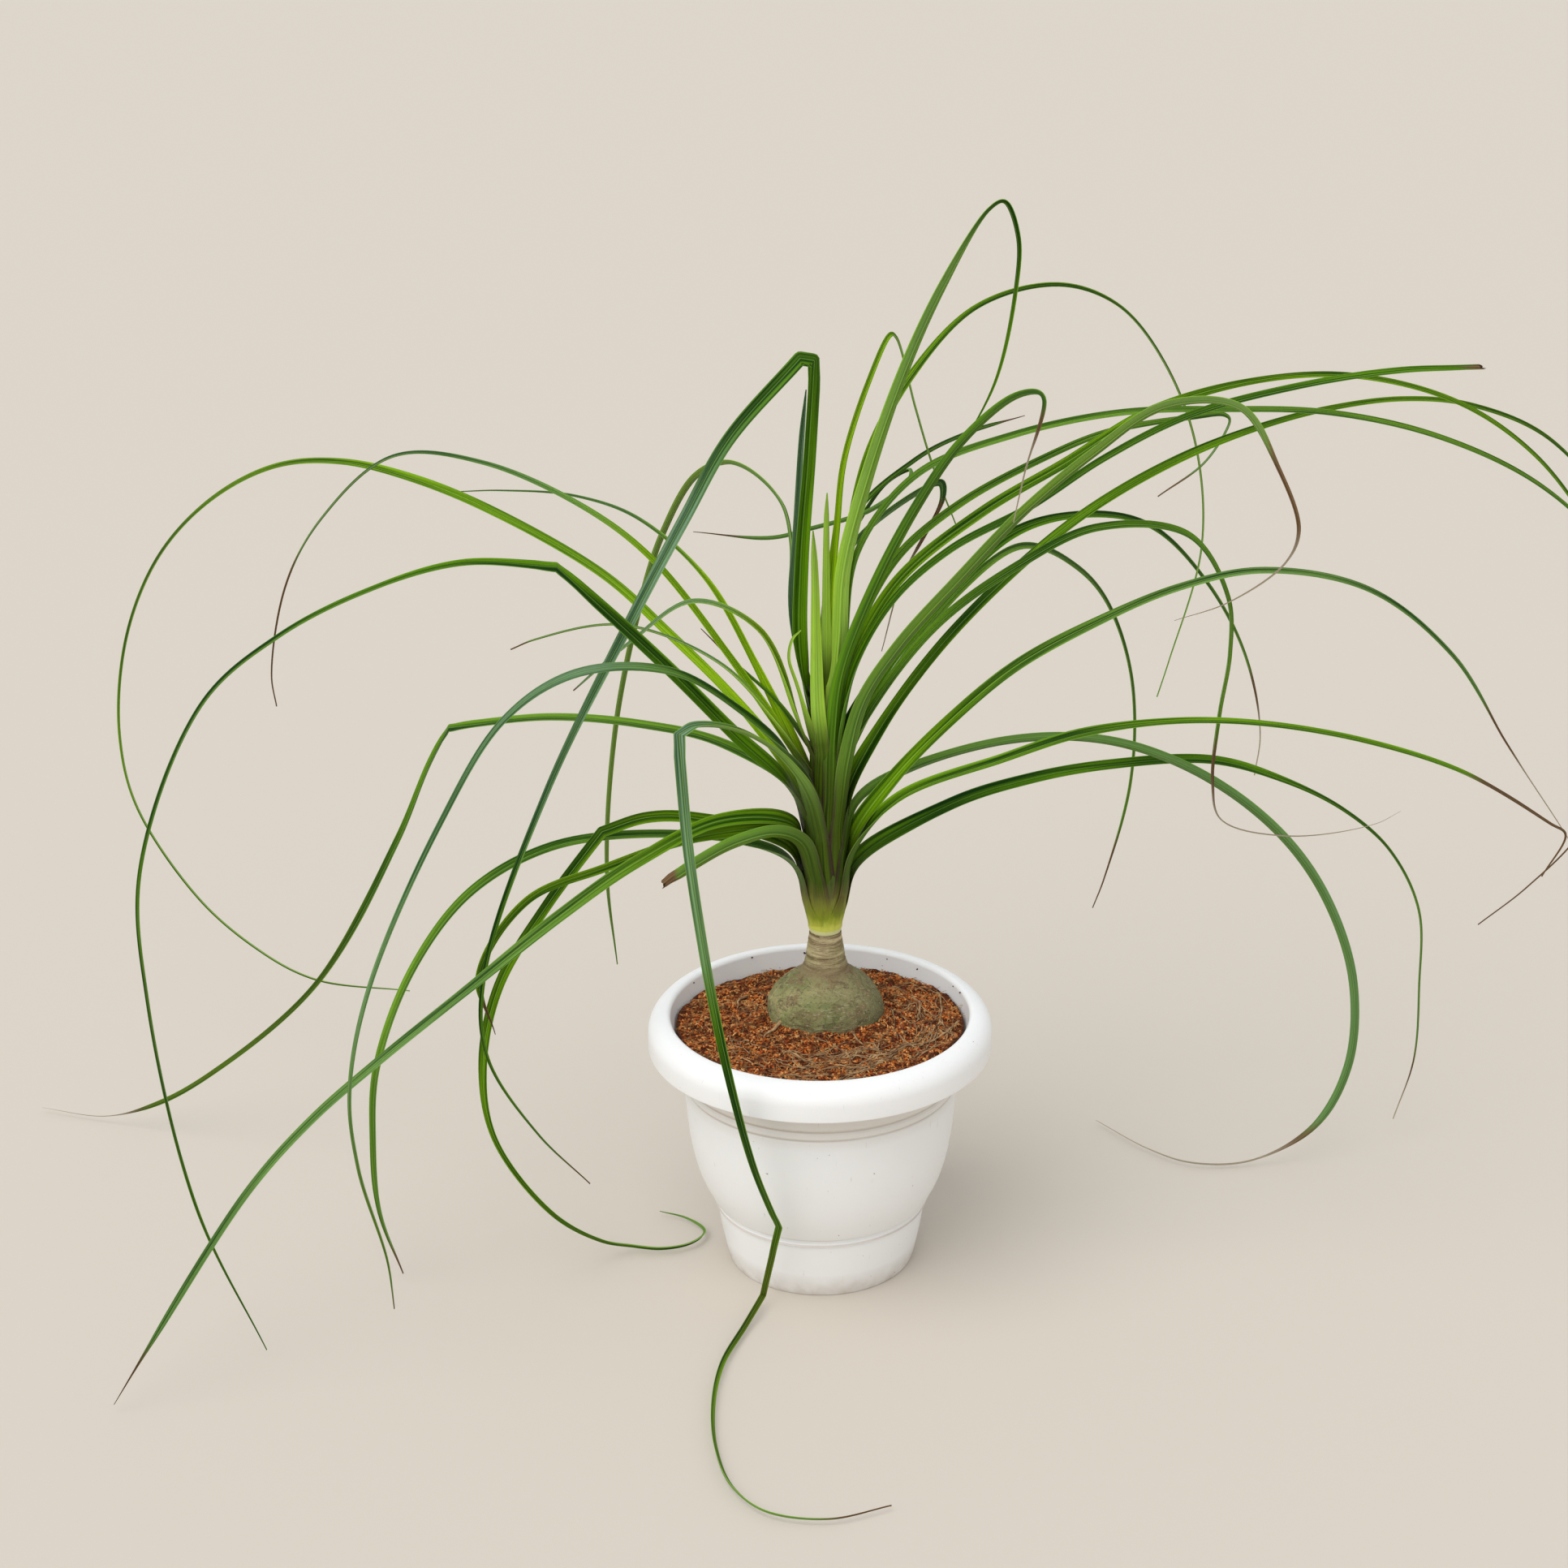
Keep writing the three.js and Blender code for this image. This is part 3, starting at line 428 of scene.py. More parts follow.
# The greens of a blade: (deep, light, waxy underside)
LEAF_COLOURS = {
    "dark": ((0.005, 0.04, 0.0005), (0.135, 0.32, 0.002), (0.2, 0.38, 0.1)),
    "mid": ((0.012, 0.06, 0.0005), (0.22, 0.44, 0.003), (0.29, 0.48, 0.14)),
    "bright": ((0.1, 0.25, 0.0005), (0.5, 0.8, 0.008), (0.38, 0.62, 0.12)),
    "blue": ((0.018, 0.075, 0.002), (0.19, 0.38, 0.025), (0.27, 0.45, 0.19)),
}
BLOOM_DEEP = (0.035, 0.1, 0.045)
BLOOM_LIGHT = (0.25, 0.41, 0.25)
OLIVE_DEEP = (0.05, 0.085, 0.004)
OLIVE_LIGHT = (0.17, 0.24, 0.012)
SHEATH_OLIVE = (0.022, 0.045, 0.002)
SHEATH_GREEN = (0.075, 0.12, 0.006)
SHEATH_PURPLE = (0.045, 0.025, 0.018)
SHEATH_GREY = (0.2, 0.17, 0.05)
COLLAR_GREEN = (0.27, 0.33, 0.025)
COLLAR_YELLOW = (0.6, 0.62, 0.09)
COLLAR_CREAM = (0.72, 0.72, 0.36)
DRY_BROWN = (0.1, 0.055, 0.025)
DRY_TAN = (0.25, 0.15, 0.07)
DRY_PALE = (0.5, 0.42, 0.3)

# Where a blade is folded sharply over: {which stop of its way: that stop's [reach, height, sideways]}
SHARP_FOLDS = {
    4: {3: [133, 290, 4]},
    10: {4: [241, 316, 0]},
    12: {3: [160, 464, 0]},
    13: {5: [138, 385, -17], 11: [100, 66, 21], 12: [94, 37, 12], 13: [88, 8, 3]},
    31: {3: [5, 565, 0], 4: [13, 567, 0]},
}


# Shared mesh making

def mesh_piece(name, points, faces, sharp_degrees=40):
    mesh = bpy.data.meshes.new(name)
    mesh.from_pydata([tuple(point) for point in points], [], faces)
    mesh.shade_smooth()
    mesh.set_sharp_from_angle(angle=math.radians(sharp_degrees))
    piece = bpy.data.objects.new(name, mesh)
    bpy.context.collection.objects.link(piece)
    return piece


def turned_mesh(profile, sides, place):
    """Turns an outline of (radius, height) whose two ends lie on the axis, from the bottom up."""
    points = [place(0, profile[0][1], 0)]
    for radius, height in profile[1:-1]:
        for side in range(sides):
            points.append(place(radius, height, 2 * math.pi * side / sides))
    points.append(place(0, profile[-1][1], 0))
    faces = []
    rings = len(profile) - 2
    last = len(points) - 1
    for side in range(sides):
        after = (side + 1) % sides
        faces.append((0, 1 + after, 1 + side))
        for ring in range(rings - 1):
            low = 1 + ring * sides
            high = low + sides
            faces.append((low + side, low + after, high + after, high + side))
        top = 1 + (rings - 1) * sides
        faces.append((top + side, top + after, last))
    return points, faces


def ring_bands(ring_count, sides):
    """The faces between rings of points that follow each other."""
    faces = []
    for low in range(0, (ring_count - 1) * sides, sides):
        high = low + sides
        for side in range(sides):
            after = (side + 1) % sides
            faces.append((low + side, low + after, high + after, high + side))
    return faces


def ring_lids(ring_count, sides):
    """The faces that close the first and the last ring."""
    last = (ring_count - 1) * sides
    return [tuple(reversed(range(sides))), tuple(range(last, last + sides))]


def gather(points, faces, more_points, more_faces):
    """Adds one more shape to the points and faces of a piece."""
    first = len(points)
    points += more_points
    faces += [tuple(corner + first for corner in face) for face in more_faces]


def placed(radius, height, angle, middle=(0, 0)):
    """A point in metres on a circle round the middle, which is given in millimetres."""
    x, y = middle
    return (x + radius * math.cos(angle)) * MM, (y + radius * math.sin(angle)) * MM, height * MM


def radius_at(outline, height):
    """How far out an outline of (radius, height) lies at a height."""
    radii, heights = zip(*outline)
    return float(np.interp(height, heights, radii))


def plain_copy(piece):
    """Turns what the modifiers make into the piece's own plain mesh."""
    graph = bpy.context.evaluated_depsgraph_get()
    graph.update()
    mesh = bpy.data.meshes.new_from_object(piece.evaluated_get(graph), depsgraph=graph)
    piece.modifiers.clear()
    old = piece.data
    piece.data = mesh
    bpy.data.meshes.remove(old)


def finish_piece(piece, material, replaced=()):
    piece.data.materials.clear()
    piece.data.materials.append(material)
    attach(piece, "root")
    for node_name in replaced:
        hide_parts(node_name)


def smooth(value, low, high):
    share = min(1.0, max(0.0, (value - low) / (high - low)))
    return share * share * (3 - 2 * share)


def mixed(low, high, share):
    return low + (high - low) * share


def mapped(value, low, high, low_result, high_result):
    return mixed(low_result, high_result, (value - low) / (high - low))


# Shared material making

def add_node(tree, kind, inputs=None, **settings):
    made = tree.nodes.new(kind)
    for key, value in settings.items():
        setattr(made, key, value)
    for key, value in (inputs or {}).items():
        if isinstance(value, bpy.types.NodeSocket):
            tree.links.new(value, made.inputs[key])
        else:
            made.inputs[key].default_value = value
    return made


class Finish:
    """A material in the making. Its patterns lie on the piece's own place unless given another vector."""

    def __init__(self, name):
        self.material = bpy.data.materials.new(name)
        self.material.use_nodes = True
        self.tree = self.material.node_tree
        self.shader = self.tree.nodes["Principled BSDF"]
        self.place = self.node("ShaderNodeTexCoord").outputs["Object"]

    def node(self, kind, inputs=None, **settings):
        return add_node(self.tree, kind, inputs, **settings)

    def attribute(self, name, output="Vector"):
        return self.node("ShaderNodeAttribute", attribute_name=name).outputs[output]

    def parts(self, vector):
        return self.node("ShaderNodeSeparateXYZ", {0: vector}).outputs

    def math(self, operation, first, second=0.0):
        return self.node("ShaderNodeMath", {0: first, 1: second}, operation=operation).outputs[0]

    def times(self, first, second):
        return self.math("MULTIPLY", first, second)

    def plus(self, first, second):
        return self.math("ADD", first, second)

    def ramp(self, value, low, high, low_result=0.0, high_result=1.0):
        """Goes from one result to the other as the value goes from low to high."""
        return self.node("ShaderNodeMapRange", {
            "Value": value, "From Min": low, "From Max": high, "To Min": low_result, "To Max": high_result,
        }).outputs["Result"]

    def mix(self, share, first, second):
        """The first colour, with this share of the second in it."""
        made = self.node("ShaderNodeMix", data_type="RGBA")
        for index, value in ((0, share), (6, first), (7, second)):
            if isinstance(value, bpy.types.NodeSocket):
                self.tree.links.new(value, made.inputs[index])
            else:
                made.inputs[index].default_value = (*value, 1) if isinstance(value, tuple) else value
        return made.outputs[2]

    def noise(self, scale, detail=3.0, roughness=0.55, vector=None):
        """Cloudy noise. Its scale is one number, or three for a pattern that is stretched."""
        vector = self.place if vector is None else vector
        if isinstance(scale, tuple):
            vector = self.node("ShaderNodeMapping", {"Vector": vector, "Scale": scale}).outputs["Vector"]
            scale = 1.0
        return self.node("ShaderNodeTexNoise", {
            "Vector": vector, "Scale": scale, "Detail": detail, "Roughness": roughness,
        }).outputs["Fac"]

    def done(self, colour, roughness, relief=None, depth=0.0, specular=0.5):
        """Joins what was made to the shader. The depth of the relief is in metres."""
        self.tree.links.new(colour, self.shader.inputs["Base Color"])
        self.tree.links.new(roughness, self.shader.inputs["Roughness"])
        if relief is not None:
            bump = self.node("ShaderNodeBump", {"Height": relief, "Distance": depth})
            self.tree.links.new(bump.outputs["Normal"], self.shader.inputs["Normal"])
        self.shader.inputs["Specular IOR Level"].default_value = specular
        return self.material


# Materials

def white_plastic():
    skin = Finish("white_plastic")
    height = skin.parts(skin.place)["Z"]
    tone = skin.mix(skin.noise(14), (0.875, 0.872, 0.86), (0.93, 0.928, 0.92))
    dust = skin.times(skin.ramp(height, 0.016, 0), skin.noise(90))
    tone = skin.mix(dust, tone, (0.45, 0.36, 0.26))
    # Painted shade: a beige band darkens the body just under the lip.
    painted_shade_under_rim = skin.times(skin.ramp(height, 0.112, 0.126), skin.ramp(height, 0.14, 0.132))
    tone = skin.mix(skin.times(painted_shade_under_rim, 0.4), tone, (0.62, 0.53, 0.42))
    # Painted shade: thin brownish lines along the edges of the foot groove and of the ring under the lip,
    # broken into patches.
    for level in (GROOVE_BOTTOM + 0.4, GROOVE_TOP - 1.4, RING_HEIGHT - 6.4, RING_HEIGHT - 0.4):
        away = skin.math("ABSOLUTE", skin.math("SUBTRACT", height, level * MM))
        line = skin.ramp(away, 0.0009, 0.0002, 0, 0.55)
        patchy_groove_shade = skin.ramp(skin.noise(30, 4), 0.2, 0.6, 0.5, 1)
        tone = skin.mix(skin.times(line, patchy_groove_shade), tone, (0.42, 0.31, 0.22))
    scratches = skin.ramp(skin.noise((500, 500, 40), 2, 0.5), 0.71, 0.75, 0, 0.35)
    tone = skin.mix(scratches, tone, (0.6, 0.55, 0.48))
    specks = skin.ramp(skin.noise(420, 1), 0.79, 0.82)
    tone = skin.mix(specks, tone, (0.3, 0.2, 0.13))
    skin.shader.inputs["Subsurface Weight"].default_value = 0.05
    skin.shader.inputs["Subsurface Scale"].default_value = 0.004
    return skin.done(tone, skin.ramp(skin.noise(60), 0.3, 0.7, 0.33, 0.46), skin.noise(900), 0.00004, 0.45)


def coir_bed_material():
    skin = Finish("coir_bed")
    grain = skin.ramp(skin.noise(420, 4, 0.7), 0.36, 0.66)
    patches = skin.ramp(skin.noise(60), 0.35, 0.65)
    tone = skin.mix(grain, (0.03, 0.008, 0.003), (0.2, 0.05, 0.012))
    tone = skin.mix(patches, tone, (0.11, 0.035, 0.012))
    return skin.done(tone, skin.ramp(grain, 0, 1, 0.97, 0.85), grain, 0.0008, 0.2)


def strewn_material(name, tones, grey_share):
    """Each strewn bit takes its tone by chance, gets painted shade in noise patches that stand for
    hollows, and is greyer in patches.
    """
    skin = Finish(name)
    by_chance = skin.node("ShaderNodeValToRGB", {"Fac": skin.attribute("bit_tone", "Fac")})
    stops = by_chance.color_ramp.elements
    while len(stops) < len(tones):
        stops.new(0.5)
    for index, (share, tone) in enumerate(tones):
        stops[index].position = share
        stops[index].color = (*tone, 1)
    plain = by_chance.outputs["Color"]
    grain = skin.ramp(skin.noise(650, 3, 0.7), 0.35, 0.68)
    tone = skin.mix(grain, skin.mix(0.5, plain, (0.05, 0.014, 0.005)), plain)
    # Painted shade: noise patches darken the bits as if they lay in hollows.
    painted_hollow_shade = skin.ramp(skin.noise(150), 0.53, 0.43, 0, 0.65)
    tone = skin.mix(painted_hollow_shade, tone, (0.06, 0.014, 0.004))
    patches = skin.ramp(skin.noise(28, 2), 0.52, 0.62, 0, grey_share)
    tone = skin.mix(patches, tone, (0.22, 0.13, 0.06))
    return skin.done(tone, skin.ramp(grain, 0, 1, 0.95, 0.72), grain, 0.0003, 0.3)


def dark_crumb():
    skin = Finish("dark_crumb")
    grain = skin.noise(900)
    tone = skin.mix(grain, (0.015, 0.008, 0.005), (0.09, 0.04, 0.02))
    return skin.done(tone, skin.ramp(grain, 0, 1, 0.95, 0.7))


def root_skin():
    skin = Finish("root_skin")
    patches = skin.ramp(skin.noise(160, 4), 0.35, 0.65)
    tone = skin.mix(patches, (0.11, 0.045, 0.014), (0.5, 0.32, 0.15))
    return skin.done(tone, skin.ramp(patches, 0, 1, 0.9, 0.75), skin.noise(700), 0.0003)


def thread_noise(skin, lean_degrees, twist_degrees):
    """Fine threads that all run one way."""
    turned = skin.node("ShaderNodeMapping", {
        "Vector": skin.place, "Rotation": (math.radians(lean_degrees), 0, math.radians(twist_degrees)),
        "Scale": (120, 900, 900),
    })
    return skin.noise(1, 2, 0.6, turned.outputs["Vector"])


def caudex_tone(skin, level, wobble, crumbs, threads):
    """The mossy, flaky skin of the swollen base, with painted shade on its right side."""
    moss = skin.ramp(skin.noise(40, 4, 0.6), 0.38, 0.62)
    tone = skin.mix(moss, (0.5, 0.43, 0.2), (0.21, 0.25, 0.08))
    # Painted shade: the side away from the light, on the right, is darkened.
    across = skin.plus(skin.parts(skin.place)["X"], skin.times(wobble, 0.02))
    tone = skin.mix(skin.times(skin.ramp(across, -0.02, 0.04), 0.7), tone, (0.11, 0.11, 0.05))
    scurf = skin.ramp(skin.noise(55, 6, 0.75), 0.49, 0.57, 0, 0.85)
    upward = skin.ramp(level, 0.166, 0.184, 0.45, 1)
    tone = skin.mix(skin.times(scurf, upward), tone, (0.24, 0.16, 0.08))
    cracks = skin.ramp(skin.noise((75, 75, 190), 6, 0.75), 0.46, 0.41, 0, 0.7)
    tone = skin.mix(cracks, tone, (0.13, 0.09, 0.045))
    pits = skin.ramp(crumbs, 0.46, 0.34, 0, 0.7)
    tone = skin.mix(pits, tone, (0.07, 0.07, 0.035))
    return skin.mix(threads, tone, (0.5, 0.45, 0.27))


def ringed_tone(skin, rings, crumbs):
    """The tan skin of the short trunk, with the rings that old leaves left."""
    tone = skin.mix(skin.ramp(rings, 0.38, 0.6), (0.17, 0.11, 0.05), (0.66, 0.55, 0.31))
    scars = skin.ramp(skin.noise((40, 40, 150), 4), 0.55, 0.68)
    tone = skin.mix(skin.times(scars, 0.75), tone, (0.15, 0.075, 0.03))
    tone = skin.mix(skin.ramp(crumbs, 0.56, 0.66, 0, 0.5), tone, (0.6, 0.52, 0.36))
    green = skin.ramp(skin.noise(55, 2), 0.45, 0.65, 0, 0.35)
    return skin.mix(green, tone, (0.3, 0.31, 0.12))


def palm_bark():
    skin = Finish("palm_bark")
    wobble = skin.noise(90)
    level = skin.plus(skin.parts(skin.place)["Z"], skin.times(wobble, 0.008))
    crumbs = skin.noise(520, 4, 0.75)
    rings = skin.noise((26, 26, 420), 5, 0.7)
    threads = skin.math("MAXIMUM", thread_noise(skin, 12, 25), thread_noise(skin, -18, -40))
    threads = skin.ramp(threads, 0.58, 0.68, 0, 0.5)
    stem_share = skin.ramp(level, 0.19, 0.2)
    base = caudex_tone(skin, level, wobble, crumbs, threads)
    tone = skin.mix(stem_share, base, ringed_tone(skin, rings, crumbs))
    neck = skin.times(skin.ramp(level, 0.188, 0.193), skin.ramp(level, 0.202, 0.195))
    tone = skin.mix(skin.times(neck, 0.55), tone, (0.2, 0.125, 0.07))
    relief = skin.plus(crumbs, skin.times(threads, 0.5))
    relief = skin.plus(relief, skin.times(rings, stem_share))
    return skin.done(tone, skin.ramp(crumbs, 0.3, 0.7, 0.95, 0.78), relief, 0.0009, 0.22)


def collar_tone(skin, tone):
    """The yellow-green band that all sheaths share where they leave the trunk."""
    height = skin.parts(skin.place)["Z"]
    streaks = skin.noise((260, 260, 30), 3, 0.6)
    level = skin.plus(height, skin.times(streaks, -0.011))
    blotches = skin.ramp(skin.noise((120, 120, 54)), 0.56, 0.66)
    grey = skin.mix(0.75, tone, SHEATH_GREY)
    tone = skin.mix(skin.ramp(level, 0.245, 0.229), tone, grey)
    spotted = skin.times(blotches, skin.ramp(level, 0.25, 0.23, 0, 0.8))
    tone = skin.mix(spotted, tone, (0.09, 0.045, 0.02))
    band = skin.mix(skin.ramp(level, 0.221, 0.2125), COLLAR_GREEN, COLLAR_YELLOW)
    band = skin.mix(skin.times(blotches, 0.35), band, (0.16, 0.2, 0.03))
    tone = skin.mix(skin.ramp(level, 0.236, 0.2195), tone, band)
    return skin.mix(skin.ramp(height, 0.2172, 0.2158), tone, COLLAR_CREAM)


def stem_skin():
    """The stem that shows between the sheaths."""
    skin = Finish("stem_skin")
    streaks = skin.noise((320, 320, 26), 4, 0.6)
    share = skin.ramp(streaks, 0.35, 0.65)
    tone = collar_tone(skin, skin.mix(share, (0.02, 0.04, 0.003), (0.07, 0.11, 0.008)))
    return skin.done(tone, skin.ramp(share, 0, 1, 0.42, 0.6), streaks, 0.0003, 0.3)


def leaf_skin(colour):
    """Reads the blade's own attributes: blade = (across, along, underside), wear = (dry, pale, base),
    whose base is the sheath colour carried up the blade as painted shade, and tint = (bloom, olive,
    shade), whose shade is the dark green, partly the leaf's own colour and partly painted shade."""
    skin = Finish("leaf_skin_" + colour)
    across, along, under = skin.parts(skin.attribute("blade"))
    dry, pale, base = skin.parts(skin.attribute("wear_and_shade"))
    lengthwise = skin.node("ShaderNodeCombineXYZ", {
        "X": skin.times(across, 4.5), "Y": skin.times(along, 6), "Z": skin.attribute("leaf_number", "Fac"),
    }).outputs[0]
    stripes = skin.ramp(skin.noise(1, 3, 0.6, lengthwise), 0.36, 0.64)
    veins = skin.ramp(skin.noise((4.2, 0.3, 1), 1, vector=lengthwise), 0.4, 0.6)
    patches = skin.ramp(skin.noise((0.2, 1.3, 1.7), 2, vector=lengthwise), 0.35, 0.65)
    specks = skin.ramp(skin.noise((1.6, 9, 3), 1, vector=lengthwise), 0.74, 0.78)
    tone = skin.plus(skin.times(stripes, 0.27), skin.times(veins, 0.12))
    tone = skin.ramp(skin.plus(tone, skin.times(patches, 0.45)), 0.18, 0.72)
    deep, light, wax = blade_greens(skin, colour, along)
    waxy = skin.plus(skin.times(veins, 0.35), skin.times(patches, 0.3))
    waxy = skin.mix(skin.times(stripes, 0.25), skin.mix(waxy, wax, light), deep)
    green = tinted(skin, skin.mix(under, skin.mix(tone, deep, light), waxy), tone)
    centre = skin.math("ABSOLUTE", across)
    green = lined(skin, green, centre, deep, light, wax)
    green = skin.mix(skin.times(specks, 0.6), green, (0.07, 0.035, 0.012))
    edge = skin.ramp(skin.plus(centre, skin.times(patches, 0.2)), 0.78, 1.05)
    green = sheathed(skin, green, along, base, stripes, edge)
    ragged = skin.plus(dry, skin.times(skin.math("SUBTRACT", stripes, 0.5), 0.5))
    ragged = skin.times(skin.ramp(ragged, 0.3, 0.7), skin.ramp(dry, 0, 0.1))
    dried = skin.mix(pale, skin.mix(stripes, DRY_BROWN, DRY_TAN), DRY_PALE)
    roughness = skin.plus(skin.ramp(tone, 0, 1, 0.42, 0.32), skin.times(under, 0.15))
    roughness = skin.plus(roughness, skin.times(dry, 0.35))
    relief = skin.plus(veins, skin.times(stripes, 0.8))
    return skin.done(skin.mix(ragged, green, dried), roughness, relief, 0.00014, 0.1)


def blade_greens(skin, colour, along):
    """The deep, light and waxy green. A bright leaf is bright near its root and plainer farther out."""
    greens = LEAF_COLOURS[colour]
    if colour != "bright":
        return greens
    near_root = skin.ramp(along, 0.22, 0.08)
    return [skin.mix(near_root, plain, bright) for plain, bright in zip(LEAF_COLOURS["mid"], greens)]


def tinted(skin, green, tone):
    """Turns the green to a whitish bloom, olive or the dark green where the leaf's own tints say so; the
    dark green is partly the leaf's own colour and partly painted shade.
    """
    bloom, olive, shade = skin.parts(skin.attribute("tint"))
    green = skin.mix(olive, green, skin.mix(tone, OLIVE_DEEP, OLIVE_LIGHT))
    green = skin.mix(bloom, green, skin.mix(tone, BLOOM_DEEP, BLOOM_LIGHT))
    return skin.mix(shade, green, skin.mix(tone, *LEAF_COLOURS["dark"][:2]))


def lined(skin, green, centre, deep, light, wax):
    """Dark grooves beside the rib, the pale rib and the pale margins."""
    away = skin.math("ABSOLUTE", skin.math("SUBTRACT", centre, 0.2))
    green = skin.mix(skin.ramp(away, 0.14, 0, 0, 0.5), green, deep)
    green = skin.mix(skin.ramp(centre, 0.1, 0, 0, 0.7), green, skin.mix(0.5, light, wax))
    return skin.mix(skin.ramp(centre, 0.86, 1, 0, 0.75), green, skin.mix(0.4, light, wax))


def sheathed(skin, green, along, base, stripes, edge):
    """The olive sheath with its purple-brown edges, whose colour also reaches up the blade as painted
    shade, and the collar at its foot.
    """
    sheath = skin.mix(edge, skin.mix(stripes, SHEATH_OLIVE, SHEATH_GREEN), SHEATH_PURPLE)
    # Painted shade: the base share is the sheath's own colour on the sheath and fades up the blade as
    # shade at the crowded foot of the crown.
    green = skin.mix(base, green, sheath)
    return skin.mix(skin.ramp(along, 0.03, 0.008), green, collar_tone(skin, green))


def studio_floor_material():
    material = bpy.data.materials.new("studio_floor")
    material.use_nodes = True
    shader = material.node_tree.nodes["Principled BSDF"]
    shader.inputs["Base Color"].default_value = FLOOR_COLOUR
    shader.inputs["Roughness"].default_value = 0.9
    return material


# Pot

def arc(centre_radius, centre_height, size, from_degrees, to_degrees, steps):
    points = []
    for step in range(steps + 1):
        angle = math.radians(mixed(from_degrees, to_degrees, step / steps))
        points.append((centre_radius + size * math.cos(angle), centre_height + size * math.sin(angle)))
    return points


def pot_body_outside():
    return [
        (POT_BASE_RADIUS - 1, 0), (POT_BASE_RADIUS - 0.3, 0.3), (POT_BASE_RADIUS, 1), (58.6, 7), (60, 14),
        (61.6, 22), (62.8, 30), (64, GROOVE_BOTTOM - 1.2), (64.9, GROOVE_BOTTOM - 0.7),
        (65.2, GROOVE_BOTTOM - 0.1), (64.9, GROOVE_BOTTOM + 0.6), (64.4, GROOVE_BOTTOM + 1.4),
        (64.6, GROOVE_TOP - 2.2), (65.4, GROOVE_TOP - 1.5), (66.6, GROOVE_TOP - 0.9), (67.2, GROOVE_TOP),
        (69, GROOVE_TOP + 4), (71.8, 54), (74.2, 60), (76.6, 68), (78.6, 77), (80.1, 86), (81.2, 96),
        (82, 107), (BODY_RADIUS, RING_HEIGHT - 7.6), (BODY_RADIUS - 0.5, RING_HEIGHT - 6.8),
        (BODY_RADIUS - 0.6, RING_HEIGHT - 6), (BODY_RADIUS, RING_HEIGHT - 5.4),
        (BODY_RADIUS + 0.6, RING_HEIGHT - 4.6), (BODY_RADIUS + 0.7, RING_HEIGHT - 2),
        (BODY_RADIUS + 0.2, RING_HEIGHT - 1.2), (BODY_RADIUS, RING_HEIGHT),
        (BODY_RADIUS + 0.6, RING_HEIGHT + 0.8), (BODY_RADIUS + 2, RING_HEIGHT + 2),
    ]


def pot_inner_radius(height):
    return radius_at(pot_body_outside() + [(MOUTH_RADIUS - 1 + WALL, POT_HEIGHT - 6)], height) - WALL


def drain_cutter(index):
    angle = 2 * math.pi * (index + 0.5) / DRAIN_COUNT
    middle = (DRAIN_REACH * math.cos(angle), DRAIN_REACH * math.sin(angle))
    low, high = DRAIN_CUT
    profile = [(0, low), (DRAIN_RADIUS, low), (DRAIN_RADIUS, high), (0, high)]
    points, faces = turned_mesh(profile, DRAIN_SIDES, lambda *where: placed(*where, middle))
    return mesh_piece("drain_cutter", points, faces)


def make_pot():
    shoulder_radius = LIP_RADIUS - LIP_SHOULDER
    shoulder_height = POT_HEIGHT - LIP_SHOULDER
    outline = [(0, 0)] + pot_body_outside()
    outline.append((pot_inner_radius(shoulder_height) + WALL, shoulder_height))
    outline.append((MOUTH_RADIUS + 1.6, POT_HEIGHT - 5))
    outline += arc(shoulder_radius, shoulder_height, LIP_SHOULDER - WALL, 80, 0, 10)
    outline.append((LIP_RADIUS - WALL, LIP_BOTTOM + 0.6))
    outline += arc(LIP_RADIUS - WALL / 2, LIP_BOTTOM + WALL / 2, WALL / 2, 180, 360, 8)
    outline += arc(shoulder_radius, shoulder_height, LIP_SHOULDER, 0, 82, 18)
    outline += arc(MOUTH_RADIUS + 3, POT_HEIGHT - 3, 3, 90, 180, 8)
    for height in (150, 140, 128, 104, 74, 45, 30, FLOOR_THICKNESS + 2):
        outline.append((pot_inner_radius(height), height))
    outline.append((pot_inner_radius(FLOOR_THICKNESS) - 1.5, FLOOR_THICKNESS))
    outline.append((0, FLOOR_THICKNESS))
    points, faces = turned_mesh(outline, POT_SIDES, placed)
    pot = mesh_piece("pot_shell", points, faces, POT_CREASE)
    cutters = [drain_cutter(index) for index in range(DRAIN_COUNT)]
    for cutter in cutters:
        cut = pot.modifiers.new("drain", "BOOLEAN")
        cut.operation = "DIFFERENCE"
        cut.object = cutter
    plain_copy(pot)
    for cutter in cutters:
        bpy.data.objects.remove(cutter)
    pot.data.set_sharp_from_angle(angle=math.radians(POT_CREASE))
    finish_piece(pot, white_plastic(), ["pot"])


# Soil, its chips and fibres, and the roots that lie on it

def soil_height(x, y):
    reach = math.hypot(x - PLANT_X, y - PLANT_Y)
    mound = SOIL_MOUND * math.exp(-((reach / MOUND_SPREAD) ** 2))
    tilt = -SOIL_TILT * (y / MOUTH_RADIUS) + SIDE_RISE * SOIL_TILT * (x / MOUTH_RADIUS) ** 2
    lumps = math.sin(0.17 * x + 0.6) * math.cos(0.19 * y - 0.4) + 0.5 * math.sin(0.31 * x - 0.27 * y)
    return SOIL_EDGE_HEIGHT + mound + tilt + SOIL_LUMP * lumps


def soil_top(x, y):
    fine = noise.fractal(Vector((x * 0.11, y * 0.11, 2.0)), 0.7, 2.0, 4)
    edge = smooth(math.hypot(x, y), SOIL_EDGE_RADIUS - 9, SOIL_EDGE_RADIUS)
    ragged = noise.noise(Vector((x * 0.07, y * 0.07, 9.0)))
    return soil_height(x, y) + SOIL_FINE_LUMP * fine + SOIL_EDGE_HEAP * ragged * edge


